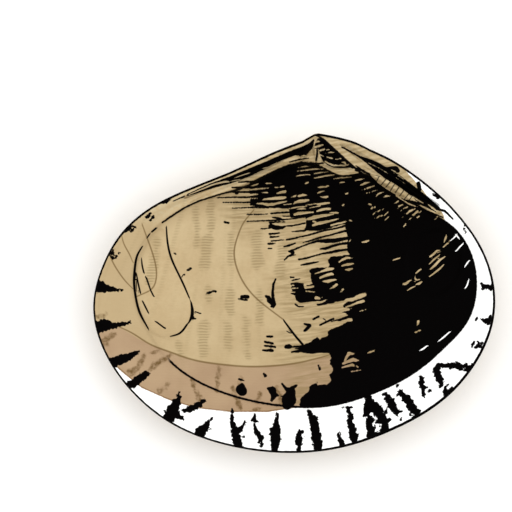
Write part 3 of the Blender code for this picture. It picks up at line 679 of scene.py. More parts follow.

# Painted shade in the hinge's recesses: front socket, under the plate's lower edge, cardinal tooth's slit,
# pit, hind socket
hinge_shade_lines = [
    [(-0.4, 0.5, 0.3), (-1.1, -0.6, 1.1), (-2.3, -1.5, 1.74), (-3.3, -1.6, 1.3), (-5.0, -2.1, 0.92),
     (-6.6, -2.8, 0.92), (-8.3, -3.6, 1.0), (-11.6, -5.1, 1.3), (-14.9, -6.4, 1.2), (-18.1, -7.4, 0.9),
     (-20.7, -8.4, 0.62), (-22.3, -9.0, 0.31)],
    [(-4.6, -3.3, 0.17), (-3.1, -2.9, 0.28), (-1.3, -2.6, 0.17)],
    [(1.2, -3.5, 0.26), (-0.5, -3.6, 0.35), (-2.3, -3.9, 0.35), (-4.3, -4.5, 0.35), (-6.6, -5.3, 0.35),
     (-9.1, -6.3, 0.35), (-11.1, -7.1, 0.35), (-13.3, -8.0, 0.31), (-16.3, -8.8, 0.26),
     (-20.2, -10.0, 0.28), (-22.8, -11.2, 0.28), (-25.1, -12.7, 0.31), (-26.7, -13.8, 0.28)],
    [(0.2, -1.1, 0.26), (0.2, -2.0, 0.35), (0.0, -3.0, 0.31)],
    [(0.4, 1.2, 0.26), (1.4, 0.5, 0.43), (2.8, -0.9, 0.6), (4.2, -2.2, 0.6), (5.9, -3.8, 0.6),
     (7.4, -4.9, 0.52), (9.4, -6.6, 0.52), (11.8, -8.6, 0.52), (14.0, -9.8, 0.42), (16.7, -10.9, 0.35),
     (19.8, -12.0, 0.28), (22.0, -12.9, 0.21)],
    [(4.5, -0.7, 0.26), (6.0, -1.5, 0.3), (7.6, -2.4, 0.35), (9.0, -3.1, 0.9), (10.6, -4.1, 1.5),
     (12.2, -5.2, 1.75), (14.2, -6.6, 2.05), (16.2, -8.1, 2.0), (18.1, -9.4, 1.75), (19.6, -10.3, 1.3),
     (21.2, -11.3, 0.6)],
    [(17.8, -7.0, 0.7), (18.0, -8.0, 0.7)], [(20.9, -11.4, 0.4), (22.4, -11.8, 0.4), (23.8, -13.2, 0.24)],
    [(7.3, -4.4, 0.3), (9.6, -5.6, 0.4), (11.4, -6.0, 0.3)],
    [(9.6, -6.0, 0.17), (11.2, -7.4, 0.35), (13.6, -8.9, 0.35), (16.0, -10.0, 0.35), (19.0, -10.8, 0.52),
     (21.4, -12.2, 0.26)],
]
# Painted shade in the grooves between the hind tooth's cross ridges
tooth_groove_shade = [
    [(10.9, -5.9, 0.14), (10.5, -6.7, 0.14)], [(12.2, -6.2, 0.16), (11.3, -7.3, 0.14)],
    [(12.9, -6.7, 0.16), (12.2, -7.6, 0.14)], [(13.6, -7.2, 0.14), (12.9, -8.3, 0.14)],
    [(14.5, -7.5, 0.17), (13.8, -8.6, 0.14)], [(15.4, -8.0, 0.16), (14.6, -9.1, 0.14)],
    [(16.2, -8.7, 0.14), (15.4, -9.7, 0.12)], [(16.7, -9.2, 0.12), (16.2, -9.9, 0.12)],
]
# Painted shade in the ligament pit, inside this outline
pit_shade_outline = [
    (0.3, 0.9), (1.1, 0.8), (3.0, -0.8), (5.1, -2.6), (7.2, -4.4), (5.9, -4.3), (4.2, -4.4), (3.1, -4.3),
    (2.1, -3.9), (1.2, -3.2), (0.7, -2.2), (0.5, -1.5), (0.4, -1.0), (-0.3, -1.0), (-0.2, -0.1), (0.3, 0.9),
]

# Light left open in the painted shade: over the front socket, in and below the pit, and on the bowl's dark
# hind part.
# The thin ones that lie apart from others are in the second list, and those between them in the third.
light_strokes = [
    [(-3.1, -4.2, 0.16), (-2.3, -4.1, 0.23), (-1.0, -4.0, 0.16)],
    [(-3.3, -4.9, 0.17), (-1.9, -4.7, 0.23), (-0.2, -4.5, 0.21), (1.2, -4.5, 0.17)],
    [(-3.5, -5.8, 0.14), (-2.8, -5.6, 0.24), (-1.9, -5.5, 0.23), (-1.0, -5.5, 0.16)],
    [(-0.3, -5.3, 0.17), (0.9, -5.1, 0.23), (2.1, -5.0, 0.17)],
    [(-0.4, -6.1, 0.17), (0.7, -5.9, 0.26), (2.1, -5.6, 0.24), (3.2, -5.5, 0.16)],
    [(3.1, -6.2, 0.17), (4.5, -6.0, 0.23), (6.1, -5.9, 0.16)],
    [(-1.9, -7.1, 0.14), (-1.6, -6.9, 0.26), (-1.3, -6.8, 0.17)],
    [(4.1, -6.9, 0.14), (4.5, -6.8, 0.28), (5.0, -6.8, 0.14)],
    [(6.8, -6.5, 0.14), (7.8, -6.3, 0.28), (8.4, -6.2, 0.17)],
    [(7.7, -7.3, 0.17), (8.5, -7.0, 0.4), (9.3, -6.8, 0.23)],
    [(-0.2, 0.1, 0.17), (0.3, 0.3, 0.3), (0.9, 0.4, 0.17)],
    [(-0.2, -0.7, 0.3), (0.5, -0.5, 0.43), (1.2, -0.3, 0.26)],
    [(0.7, -1.3, 0.33), (1.4, -1.1, 0.33), (2.3, -1.1, 0.17)],
    [(1.6, -1.7, 0.16), (2.4, -1.6, 0.23), (3.2, -1.6, 0.16)], [(0.7, -2.0, 0.16), (1.3, -2.3, 0.19)],
    [(1.9, -2.4, 0.16), (2.6, -2.6, 0.23), (3.0, -2.7, 0.16)], [(3.4, -2.8, 0.19), (4.3, -2.7, 0.23)],
    [(1.6, -3.2, 0.23), (2.3, -3.6, 0.28), (3.1, -3.9, 0.3), (4.2, -3.9, 0.26), (5.2, -3.9, 0.26),
     (5.7, -3.7, 0.14)],
    [(4.5, -3.3, 0.17), (5.0, -3.4, 0.3), (5.2, -3.7, 0.21)],
    [(1.5, -4.0, 0.19), (2.3, -4.4, 0.26), (3.1, -4.8, 0.38), (4.3, -5.1, 0.59), (5.7, -4.8, 0.69),
     (6.6, -4.6, 0.38)],
    [(6.4, -5.0, 0.31), (7.3, -5.1, 0.23)], [(-4.7, -2.6, 0.14), (-3.6, -2.3, 0.24), (-3.0, -2.2, 0.14)],
    [(-2.6, -2.3, 0.14), (-2.1, -2.2, 0.24), (-1.7, -2.2, 0.14)],
    [(9.0, -3.4, 0.07), (10.1, -3.9, 0.12), (11.1, -4.4, 0.1), (12.5, -5.3, 0.09)],
    [(13.4, -5.1, 0.07), (14.4, -5.7, 0.12), (15.3, -6.3, 0.09)],
    [(13.9, -6.0, 0.07), (14.6, -6.5, 0.12), (15.5, -7.1, 0.09)],
    [(7.3, -3.5, 0.35), (8.0, -4.0, 0.38), (9.0, -4.7, 0.3), (10.2, -5.2, 0.14)],
    [(9.5, -5.4, 0.17), (10.2, -5.9, 0.63), (11.1, -6.4, 1.22), (12.2, -7.1, 1.42), (13.4, -7.8, 1.46),
     (14.6, -8.6, 1.39), (15.6, -9.2, 1.18), (16.5, -9.6, 0.69), (17.2, -9.9, 0.21)],
    [(13.9, -9.2, 0.16), (14.9, -9.8, 0.24), (16.0, -10.5, 0.24), (16.8, -10.8, 0.23), (17.7, -11.1, 0.14)],
    [(12.9, -8.2, 0.14), (13.5, -8.8, 0.16)], [(16.5, -9.1, 0.14), (17.5, -9.8, 0.26), (18.6, -10.4, 0.17)],
    [(18.1, -10.8, 0.16), (19.3, -11.4, 0.26), (20.7, -12.1, 0.26), (21.4, -12.2, 0.14)],
    [(19.5, -10.7, 0.17), (20.3, -11.3, 0.3), (21.2, -12.0, 0.28), (21.7, -12.4, 0.17)],
    [(8.0, -8.2, 0.17), (9.0, -7.8, 0.3), (10.2, -7.4, 0.19)],
    [(8.0, -8.9, 0.12), (9.2, -8.6, 0.19), (10.8, -8.1, 0.14)],
    [(10.3, -9.3, 0.16), (10.9, -8.8, 0.26), (11.7, -8.5, 0.23)],
    [(11.7, -9.4, 0.17), (12.2, -9.2, 0.38), (12.9, -9.2, 0.16)], [(9.0, -10.5, 0.23), (9.6, -10.7, 0.3)],
    [(9.5, -11.4, 0.26), (10.2, -11.1, 0.36)],
    [(10.4, -12.0, 0.24), (11.1, -11.7, 0.3), (11.8, -11.4, 0.16)],
    [(9.9, -12.4, 0.16), (10.2, -12.1, 0.17)],
    [(10.2, -13.1, 0.17), (11.1, -12.7, 0.33), (11.5, -12.6, 0.23)],
    [(11.8, -12.6, 0.21), (12.5, -11.9, 0.21)], [(12.0, -13.4, 0.21), (12.7, -12.8, 0.24)],
    [(13.6, -10.5, 0.17), (14.3, -10.1, 0.26)],
    [(14.0, -11.4, 0.17), (14.5, -10.9, 0.3), (15.1, -10.7, 0.19)],
    [(14.5, -11.8, 0.21), (14.9, -11.6, 0.21)], [(15.2, -11.4, 0.16), (15.9, -11.1, 0.24)],
    [(15.8, -12.3, 0.24), (16.3, -11.8, 0.36), (17.2, -11.4, 0.17)],
    [(16.2, -13.2, 0.24), (17.0, -12.4, 0.36), (17.7, -11.8, 0.35)],
    [(17.7, -12.3, 0.17), (18.3, -11.8, 0.17)], [(14.9, -12.9, 0.16), (15.4, -12.3, 0.23)],
    [(17.3, -13.2, 0.24), (17.9, -12.7, 0.28)], [(20.6, -13.3, 0.17), (21.1, -12.8, 0.28)],
    [(-11.3, -7.5, 0.16), (-10.4, -7.2, 0.3), (-10.0, -7.0, 0.16)],
    [(-8.7, -7.0, 0.19), (-7.7, -7.0, 0.19)], [(-11.5, -8.1, 0.23), (-9.4, -7.9, 0.26), (-8.1, -7.8, 0.14)],
    [(-7.2, -7.7, 0.16), (-6.4, -7.7, 0.19), (-5.6, -7.5, 0.33)],
    [(-11.5, -9.0, 0.36), (-10.6, -8.9, 0.3), (-9.9, -8.9, 0.14)],
    [(-9.6, -8.6, 0.14), (-8.9, -8.6, 0.26), (-8.3, -8.6, 0.14)],
    [(-6.9, -8.8, 0.14), (-6.3, -8.6, 0.36), (-5.4, -8.4, 0.52)],
    [(-11.5, -9.6, 0.23), (-10.2, -9.6, 0.14)],
    [(-9.3, -9.8, 0.21), (-8.3, -9.7, 0.36), (-7.1, -9.6, 0.5), (-5.7, -9.5, 0.56), (-5.3, -9.4, 0.35)],
    [(-11.6, -10.9, 0.28), (-10.4, -11.0, 0.16)],
    [(-10.4, -10.5, 0.16), (-9.4, -10.5, 0.3), (-8.3, -10.7, 0.49), (-7.3, -10.6, 0.45),
     (-6.1, -10.3, 0.33), (-5.0, -10.1, 0.17)],
    [(-5.7, -10.7, 0.16), (-3.8, -10.5, 0.19)],
    [(-3.6, -10.3, 0.35), (-2.8, -10.1, 0.59), (-1.9, -10.0, 0.54), (-1.3, -9.9, 0.35)],
    [(-4.3, -9.4, 0.21), (-3.6, -9.2, 0.26), (-3.3, -8.9, 0.12)],
    [(-3.0, -9.2, 0.35), (-2.3, -9.0, 0.4), (-1.4, -9.0, 0.14)],
    [(0.4, -7.7, 0.23), (1.0, -7.6, 0.33), (1.7, -7.6, 0.23), (2.1, -7.4, 0.3)],
    [(0.3, -8.7, 0.21), (0.7, -8.5, 0.3), (1.4, -8.3, 0.12)],
    [(0.7, -9.3, 0.14), (1.2, -9.4, 0.26), (1.7, -9.4, 0.42), (2.0, -9.3, 0.28)],
    [(5.0, -8.9, 0.14), (5.5, -8.7, 0.3)], [(4.6, -10.9, 0.28), (4.8, -10.7, 0.26)],
    [(-1.7, -10.7, 0.21), (-1.0, -10.7, 0.19), (0.0, -10.5, 0.19)],
    [(0.3, -10.6, 0.35), (1.4, -10.5, 0.4), (2.3, -10.4, 0.3)],
    [(-1.2, -11.3, 0.14), (-0.3, -11.1, 0.17), (0.7, -10.9, 0.21)],
    [(-4.7, -11.4, 0.23), (-3.1, -11.1, 0.23), (-1.6, -11.0, 0.17)],
    [(-3.3, -11.5, 0.16), (-2.4, -11.4, 0.24), (-1.7, -11.4, 0.12)],
    [(-3.7, -12.4, 0.45), (-3.0, -12.2, 0.54), (-1.7, -12.1, 0.42), (-0.5, -12.0, 0.24)],
    [(0.2, -11.8, 0.35), (1.2, -11.5, 0.4), (2.4, -11.4, 0.4)],
    [(-1.4, -13.2, 0.42), (-0.3, -12.9, 0.64), (0.7, -12.7, 0.54), (1.9, -12.5, 0.42), (3.0, -12.4, 0.16)],
    [(2.4, -12.1, 0.17), (3.1, -12.1, 0.3), (3.8, -12.1, 0.3)],
    [(-0.5, -14.3, 0.38), (0.5, -13.9, 0.54), (1.7, -13.7, 0.47), (3.0, -13.4, 0.3), (4.0, -13.1, 0.17)],
    [(-0.5, -13.6, 0.28), (0.0, -13.7, 0.28)], [(5.8, -13.4, 0.24), (6.2, -13.5, 0.23)],
    [(2.6, -14.3, 0.28), (3.6, -14.0, 0.31), (4.7, -13.8, 0.31), (5.3, -13.6, 0.23)],
    [(-1.9, -13.5, 0.35), (-1.8, -13.3, 0.35)],
    [(4.0, -20.7, 0.16), (4.5, -20.3, 0.36), (5.4, -19.9, 0.43), (6.3, -20.0, 0.17)],
    [(4.5, -21.3, 0.3), (5.4, -21.1, 0.43), (6.5, -20.9, 0.28)],
    [(5.1, -22.0, 0.17), (5.7, -22.0, 0.43), (6.3, -21.8, 0.3)],
    [(-0.2, -22.7, 0.17), (1.0, -22.3, 0.31), (2.1, -21.9, 0.63), (3.0, -21.8, 0.31)],
    [(0.7, -23.4, 0.33), (1.7, -23.0, 0.47), (2.6, -22.7, 0.49), (3.0, -22.8, 0.28)],
    [(1.2, -24.0, 0.21), (2.1, -24.0, 0.59), (2.8, -23.8, 0.47), (3.5, -23.7, 0.17)],
    [(2.3, -25.3, 0.16), (3.0, -25.0, 0.4), (3.6, -24.6, 0.5)], [(4.3, -25.8, 0.3), (4.7, -25.4, 0.33)],
    [(5.6, -17.2, 0.16), (6.1, -16.8, 0.17)], [(8.0, -17.2, 0.28), (8.7, -17.1, 0.42), (9.2, -16.9, 0.21)],
    [(5.2, -28.5, 0.26), (6.3, -28.1, 0.31), (7.3, -27.7, 0.45), (8.3, -27.4, 0.47)],
    [(7.6, -29.2, 0.14), (8.0, -29.1, 0.26), (8.7, -28.9, 0.14)],
    [(-4.4, -24.7, 0.23), (-3.8, -24.7, 0.19)], [(-4.5, -25.2, 0.19), (-3.1, -25.2, 0.17)],
    [(-4.5, -25.9, 0.23), (-3.6, -25.9, 0.14)], [(-1.9, -24.5, 0.45), (-1.8, -25.1, 0.45)],
    [(-1.7, -25.1, 0.42), (-0.5, -24.9, 0.36)], [(-1.8, -25.7, 0.23), (0.0, -25.9, 0.19)],
    [(0.0, -26.9, 0.57), (0.5, -26.9, 0.45), (1.1, -26.8, 0.16)],
    [(0.1, -27.7, 0.45), (1.0, -27.6, 0.35), (2.0, -27.1, 0.14)],
    [(9.5, -47.1, 0.14), (9.9, -47.1, 0.21), (10.3, -47.5, 0.19), (10.5, -47.9, 0.17), (10.2, -48.4, 0.23),
     (9.8, -48.7, 0.14)],
    [(10.2, -49.3, 0.12), (10.8, -48.9, 0.26), (11.3, -48.9, 0.23), (11.3, -49.3, 0.17),
     (10.9, -49.7, 0.16), (10.5, -49.7, 0.09)],
    [(10.6, -50.2, 0.12), (11.1, -50.0, 0.16)], [(8.6, -47.6, 0.14), (9.0, -47.4, 0.16)],
    [(11.7, -46.7, 0.16), (11.7, -46.8, 0.16)], [(17.6, -31.8, 0.23), (17.8, -30.9, 0.44)],
    [(17.0, -33.0, 0.27), (18.1, -32.5, 0.3)], [(5.0, -37.8, 0.35), (5.7, -36.5, 0.52), (6.6, -36.6, 0.35)],
    [(4.7, -38.3, 0.35), (6.4, -37.6, 0.69), (7.3, -37.8, 0.35)],
    [(4.4, -39.0, 0.24), (6.3, -38.5, 0.45), (7.3, -38.9, 0.24)], [(6.1, -39.7, 0.17), (7.8, -39.4, 0.24)],
    [(8.9, -36.5, 0.21), (10.2, -36.0, 0.31)],
]
light_lines = [
    [(-22.0, -8.9, 0.14), (-21.0, -8.5, 0.2), (-20.1, -8.1, 0.24), (-19.3, -7.8, 0.26), (-18.4, -7.4, 0.28),
     (-17.5, -7.1, 0.28), (-16.7, -6.9, 0.33), (-15.8, -6.7, 0.38), (-15.2, -6.7, 0.28)],
    [(-14.0, -6.0, 0.12), (-13.2, -5.7, 0.16), (-12.3, -5.4, 0.2), (-11.6, -5.2, 0.16)],
    [(-9.2, -4.4, 0.14), (-8.3, -4.2, 0.2), (-7.5, -3.8, 0.2), (-6.8, -3.4, 0.12)],
    [(23.3, -17.0, 0.14), (23.9, -16.5, 0.24), (24.4, -16.0, 0.28)],
    [(25.9, -21.4, 0.19), (26.3, -20.8, 0.31), (26.6, -20.4, 0.16)],
    [(21.3, -34.4, 0.17), (22.2, -33.7, 0.31), (23.2, -32.8, 0.21)],
    [(19.9, -19.7, 0.35), (20.5, -19.2, 0.43), (21.0, -18.7, 0.36), (21.5, -18.6, 0.17)],
    [(20.0, -21.8, 0.31), (20.7, -21.2, 0.5), (21.5, -20.3, 0.4), (22.3, -19.8, 0.23)],
    [(22.1, -18.1, 0.23), (22.5, -17.7, 0.26), (22.9, -17.4, 0.31)],
    [(17.4, -22.6, 0.21), (17.8, -22.2, 0.36), (18.2, -21.9, 0.23)],
    [(13.5, -20.3, 0.21), (14.1, -20.1, 0.28), (14.5, -20.0, 0.19)],
    [(17.5, -24.5, 0.23), (17.9, -24.4, 0.49), (18.2, -24.2, 0.38)],
    [(15.4, -24.5, 0.45), (15.8, -24.3, 0.52), (16.1, -24.0, 0.35), (16.5, -23.8, 0.17)],
    [(15.3, -14.4, 0.19), (15.5, -14.2, 0.28)],
]
light_between = [
    [(-14.7, -6.6, 0.12), (-14.1, -6.5, 0.2), (-13.2, -6.3, 0.12)],
    [(24.4, -16.0, 0.26), (24.8, -16.5, 0.26)],
    [(24.4, -18.7, 0.23), (25.0, -18.0, 0.28), (25.5, -17.5, 0.21)],
    [(26.0, -25.1, 0.23), (26.3, -24.6, 0.28), (26.5, -23.8, 0.19)],
    [(18.2, -36.0, 0.23), (18.8, -35.6, 0.33), (19.3, -35.2, 0.21)],
    [(19.7, -21.0, 0.17), (20.5, -20.2, 0.35), (21.4, -19.5, 0.19)],
    [(19.7, -23.2, 0.17), (20.5, -22.6, 0.31), (21.4, -21.9, 0.38), (22.1, -21.2, 0.21)],
    [(22.3, -17.0, 0.23), (22.5, -16.6, 0.42), (22.6, -16.2, 0.31)],
    [(17.2, -23.3, 0.23), (17.2, -23.7, 0.31), (17.5, -23.8, 0.24), (17.9, -23.7, 0.17)],
    [(16.0, -25.5, 0.19), (16.5, -25.2, 0.3), (16.9, -25.0, 0.21), (17.2, -24.9, 0.14)],
]

# Brown streaks on the band, and faint brown lines where the scar, bay and mantle's edge lay years before
brown_marks = [
    [(-37.3, -34.4, 0.35), (-36.3, -33.9, 0.69), (-35.1, -33.1, 0.35)],
    [(-37.3, -35.1, 0.26), (-36.3, -34.8, 0.52)], [(-38.2, -30.0, 0.26), (-36.8, -29.8, 0.43)],
    [(-32.1, -39.9, 1.04), (-31.1, -39.1, 0.69), (-30.2, -37.8, 0.69), (-30.0, -37.1, 0.43)],
    [(-28.5, -39.1, 0.69), (-27.1, -38.0, 0.69), (-25.4, -37.0, 0.35)],
    [(-27.0, -43.1, 0.61), (-26.3, -42.5, 0.35), (-25.6, -41.7, 0.35)],
    [(-21.5, -41.3, 0.28), (-20.8, -43.1, 0.43), (-20.0, -44.8, 0.61)],
    [(-16.8, -39.1, 0.35), (-17.0, -41.1, 0.43), (-17.2, -43.1, 0.43)],
    [(-14.4, -42.5, 0.35), (-13.9, -44.1, 0.52), (-13.1, -46.0, 0.61)],
    [(-13.1, -41.0, 0.26), (-13.2, -42.2, 0.26)], [(-10.3, -45.0, 0.35), (-9.7, -43.4, 0.38)],
    [(-10.7, -46.4, 0.38), (-9.8, -46.0, 0.38)],
    [(-7.1, -42.5, 0.43), (-6.4, -43.9, 0.52), (-5.7, -45.3, 0.52)],
    [(-28.5, -36.6, 0.17), (-27.4, -35.9, 0.26)],
]
brown_lines = [
    [(-34.2, -31.9, 0.14), (-32.1, -32.9, 0.17), (-28.9, -34.9, 0.19), (-25.6, -36.2, 0.21),
     (-21.5, -37.6, 0.21), (-16.8, -38.4, 0.21), (-12.2, -38.8, 0.21), (-7.5, -38.7, 0.21),
     (-2.8, -38.1, 0.21), (0.9, -37.2, 0.17), (2.7, -36.7, 0.14)],
    [(-10.8, -11.6, 0.12), (-12.5, -13.7, 0.16), (-13.5, -15.9, 0.17), (-14.2, -18.7, 0.19),
     (-13.5, -22.4, 0.19), (-11.2, -26.1, 0.19), (-8.0, -28.9, 0.17), (-5.6, -30.7, 0.16)],
    [(-36.2, -18.2, 0.12), (-35.6, -20.0, 0.16), (-34.4, -22.2, 0.16), (-32.8, -24.3, 0.14),
     (-31.8, -25.3, 0.1)],
    [(-33.9, -15.4, 0.1), (-33.4, -17.4, 0.14), (-32.4, -19.3, 0.14), (-31.8, -20.7, 0.09)],
    [(-30.2, -14.1, 0.12), (-29.4, -16.3, 0.16), (-28.0, -20.5, 0.17), (-27.7, -22.9, 0.17),
     (-28.4, -25.2, 0.17), (-31.0, -26.6, 0.14)],
    [(-37.5, -36.1, 0.21), (-35.9, -37.7, 0.21), (-33.5, -39.8, 0.21), (-30.3, -42.4, 0.21),
     (-25.6, -44.5, 0.21), (-21.0, -45.9, 0.19), (-14.9, -46.6, 0.17), (-8.4, -46.6, 0.17),
     (-5.2, -46.1, 0.17), (-1.0, -45.5, 0.14)],
]

# Painted shade: faint columns of short cross streaks on the bowl
shade_columns = [
    [(-18.3, -9.9, 1.2), (-18.2, -14.7, 1.3)], [(-20.9, -11.0, 0.8), (-20.6, -17.8, 1.0)],
    [(-18.9, -16.8, 1.9), (-19.3, -21.3, 1.8)], [(-18.7, -25.5, 1.1), (-18.6, -27.6, 1.1)],
    [(-14.8, -16.0, 1.1), (-14.8, -21.2, 1.1)], [(-15.0, -25.5, 1.5), (-14.9, -29.3, 1.5)],
    [(-10.3, -16.0, 1.8), (-10.2, -20.7, 2.0)], [(-19.5, -31.6, 1.9), (-19.5, -36.3, 1.7)],
    [(-15.3, -31.6, 1.4), (-15.3, -35.1, 1.3)], [(-9.8, -26.0, 1.3), (-9.6, -31.0, 1.2)],
    [(-24.0, -34.8, 1.2), (-23.4, -37.0, 1.0)], [(-27.5, -17.0, 1.2), (-28.9, -24.0, 1.6)],
    [(-5.9, -18.2, 1.6), (-6.1, -22.6, 1.8)], [(-12.2, -30.5, 1.2), (-11.9, -37.0, 1.0)],
]

# Painted shade: the dark hind part of the bowl, where its hind wall lies in shade
painted_shade_outline = [
    (-9.9, -2.9), (-10.2, -5.7), (-11.5, -6.6), (-11.5, -11.2), (-8.3, -11.3), (-4.7, -11.4), (-4.4, -13.0),
    (-1.9, -12.9), (-1.7, -14.1), (-2.0, -15.3), (0.3, -15.2), (2.4, -14.7), (5.0, -14.1), (5.4, -15.8),
    (5.4, -18.6), (5.8, -19.3), (3.8, -19.6), (2.6, -19.7), (2.0, -20.3), (2.4, -21.0), (2.1, -21.6),
    (0.2, -21.7), (-1.2, -22.0), (-0.9, -22.7), (-1.0, -23.8), (-0.6, -24.4), (-1.6, -24.6), (-2.8, -24.2),
    (-3.5, -24.1), (-4.4, -24.4), (-4.2, -25.5), (-4.4, -26.2), (-3.6, -26.6), (-3.5, -27.3), (-2.8, -27.8),
    (-1.4, -27.7), (0.0, -27.5), (0.3, -28.3), (2.4, -28.0), (5.0, -27.2), (8.7, -26.0), (8.8, -26.5),
    (7.1, -27.2), (5.5, -27.5), (4.7, -28.1), (4.8, -28.6), (6.3, -28.7), (4.5, -29.4), (5.8, -29.9),
    (4.2, -30.6), (2.6, -31.0), (4.2, -30.9), (6.3, -30.3), (6.3, -30.8), (4.2, -31.6), (3.1, -32.1),
    (2.1, -32.8), (1.9, -33.6), (1.0, -33.9), (0.7, -34.3), (0.2, -33.6), (-0.3, -34.0), (-1.2, -34.5),
    (-2.2, -35.1), (-3.7, -35.7), (-2.8, -36.0), (-4.0, -36.4), (-1.0, -36.5), (2.2, -36.5), (2.6, -37.2),
    (2.4, -38.4), (3.0, -39.4), (2.4, -40.3), (2.7, -41.1), (1.9, -42.0), (0.3, -42.0), (0.4, -41.3),
    (-0.5, -41.9), (-1.2, -42.4), (-1.2, -43.1), (-2.3, -43.8), (-2.8, -44.6), (-2.8, -46.7), (32.0, -46.7),
    (32.0, 0.5), (2.4, 2.6), (-9.9, 2.6),
]

# The tan ends along this line, and past it the band is white. The pinkish tan lies below the second line.
white_outline = [
    (-39.3, -35.1), (-37.5, -36.3), (-35.9, -37.7), (-33.5, -39.8), (-30.3, -42.4), (-25.6, -44.5),
    (-21.0, -45.9), (-14.9, -46.6), (-8.4, -46.6), (-1.0, -45.5), (5.0, -42.8), (13.7, -36.8),
    (19.5, -32.5), (22.6, -24.6), (23.3, -16.8), (22.1, -12.3), (19.5, -9.4), (17.2, -6.6), (13.4, -2.4),
    (11.1, 0.5), (45.0, 5.0), (45.0, -60.0), (-45.0, -60.0), (-39.3, -35.1),
]
pink_line = [
    (-39.3, -30.4), (-34.2, -31.9), (-28.9, -34.9), (-21.5, -37.6), (-12.2, -38.8), (-2.8, -38.1),
    (4.2, -36.3),
]
edge_line_width = [
    (-100, 0.48), (-73, 0.42), (-60, 0.34), (-30, 0.34), (0, 0.4), (12, 0.5), (30, 0.5), (45, 0.45),
    (62, 0.37), (80, 0.4), (100, 0.45),
]
streak_middle = -16.0
streak_bend = 0.0042
fan_centre = (-12.7, 25.0)      # the middle from which the faint columns spread
stroke_reach = 2
out_of_reach = 9.0              # for places far from every stroke


def strokes_near(x, y, strokes):
    """For each place, its offset from the middle of the nearest stroke (below zero on the stroke's right),
    half that stroke's width, and how far the place lies outside the stroke. All in millimetres."""
    offset, half, outside = (np.full(x.shape, start) for start in (out_of_reach, 0.1, out_of_reach))
    for stroke in strokes:
        for (x0, y0, wide0), (x1, y1, wide1) in zip(stroke[:-1], stroke[1:]):
            near = (x > min(x0, x1) - stroke_reach) & (x < max(x0, x1) + stroke_reach)
            near &= (y > min(y0, y1) - stroke_reach) & (y < max(y0, y1) + stroke_reach)
            run, rise = x1 - x0, y1 - y0
            past_x, past_y = x[near] - x0, y[near] - y0
            t = np.clip((past_x * run + past_y * rise) / (run**2 + rise**2 + 1e-9), 0, 1)
            away = np.hypot(past_x - t * run, past_y - t * rise)
            wide = (wide0 + (wide1 - wide0) * t) / 2
            side = np.where(run * past_y - rise * past_x < 0, -1, 1)
            closer = away - wide < outside[near]
            offset[near] = np.where(closer, away * side, offset[near])
            half[near] = np.where(closer, wide, half[near])
            outside[near] = np.where(closer, away - wide, outside[near])
    return np.column_stack([offset, half, outside])


def store(name, values):
    """Keeps one number or one vector for each point of the mesh, for the paint to read."""
    kind, field = ("FLOAT", "value") if values.ndim == 1 else ("FLOAT_VECTOR", "vector")
    attribute = mesh.attributes.new(name, kind, "POINT")
    attribute.data.foreach_set(field, values.astype(np.float32).ravel())


x, y, z = upright.T * mm
level = np.zeros(len(x))
growth = np.concatenate(net.growth)
heading = np.concatenate(net.heading)
from_middle = np.hypot(flat[:, 0] - bowl_middle[0], flat[:, 1] - bowl_middle[1])
middle_angle = np.arctan2(flat[:, 1] - bowl_middle[1], flat[:, 0] - bowl_middle[0])
past_line = mm * (from_middle - inner_from_middle(middle_angle))
on_outside = np.arange(len(x)) >= sum(len(ring) for ring in net.rings[:inner_rings])
full_growth = shell_height * mm
from_edge = np.where(on_outside, full_growth - growth, mm * within(flat[:, 0], flat[:, 1], edge_curve))
latest_pause = np.max([np.where(growth >= stage * full_growth, stage, 0) for stage in pause_stages], axis=0)
streak_rise = y - streak_bend * np.clip(x - streak_middle, 0, None) ** 2
fan_angle = np.degrees(np.arctan2(x - fan_centre[0], fan_centre[1] - y))
fan_reach = np.hypot(x - fan_centre[0], y - fan_centre[1])
store("plan", np.column_stack([x, y, z]))
store("along_streaks", np.column_stack([x, streak_rise, level]))
store("rough_strokes", strokes_near(x, y, margin_marks)[:, 2])
store("thin_strokes", strokes_near(x, y, [smooth_line(line, steps=4) for line in scar_lines + bay_lines]))
store("streaks", strokes_near(x, y, flecks + shade_hatching + hinge_shade_lines)[:, 2])
store("light_over", strokes_near(x, y, light_strokes)[:, 2])
store("light_lines", strokes_near(x, y, light_lines))
store("light_between", strokes_near(x, y, light_between))
store("groove_shade_strokes", strokes_near(x, y, tooth_groove_shade))
store("brown_strokes", strokes_near(x, y, brown_marks)[:, 2])
store("brown_thin", strokes_near(x, y, [smooth_line(line, steps=5) for line in brown_lines]))
store("columns", strokes_near(x, y, shade_columns)[:, 2])
store("painted_shade_within", within(x, y, np.array(painted_shade_outline)))
store("pit_shade_within", within(x, y, np.array(pit_shade_outline)))
store("past_line", past_line)
store("white_within", within(x, y, np.array(white_outline)))
store("pink_below", np.interp(x, *np.array(pink_line).T) - y)
store("rim", from_edge - np.interp(heading, *np.array(edge_line_width).T))
store("fan", np.column_stack([fan_angle, fan_reach, level]))
store("skin", np.column_stack([heading, growth, growth - latest_pause * full_growth]))


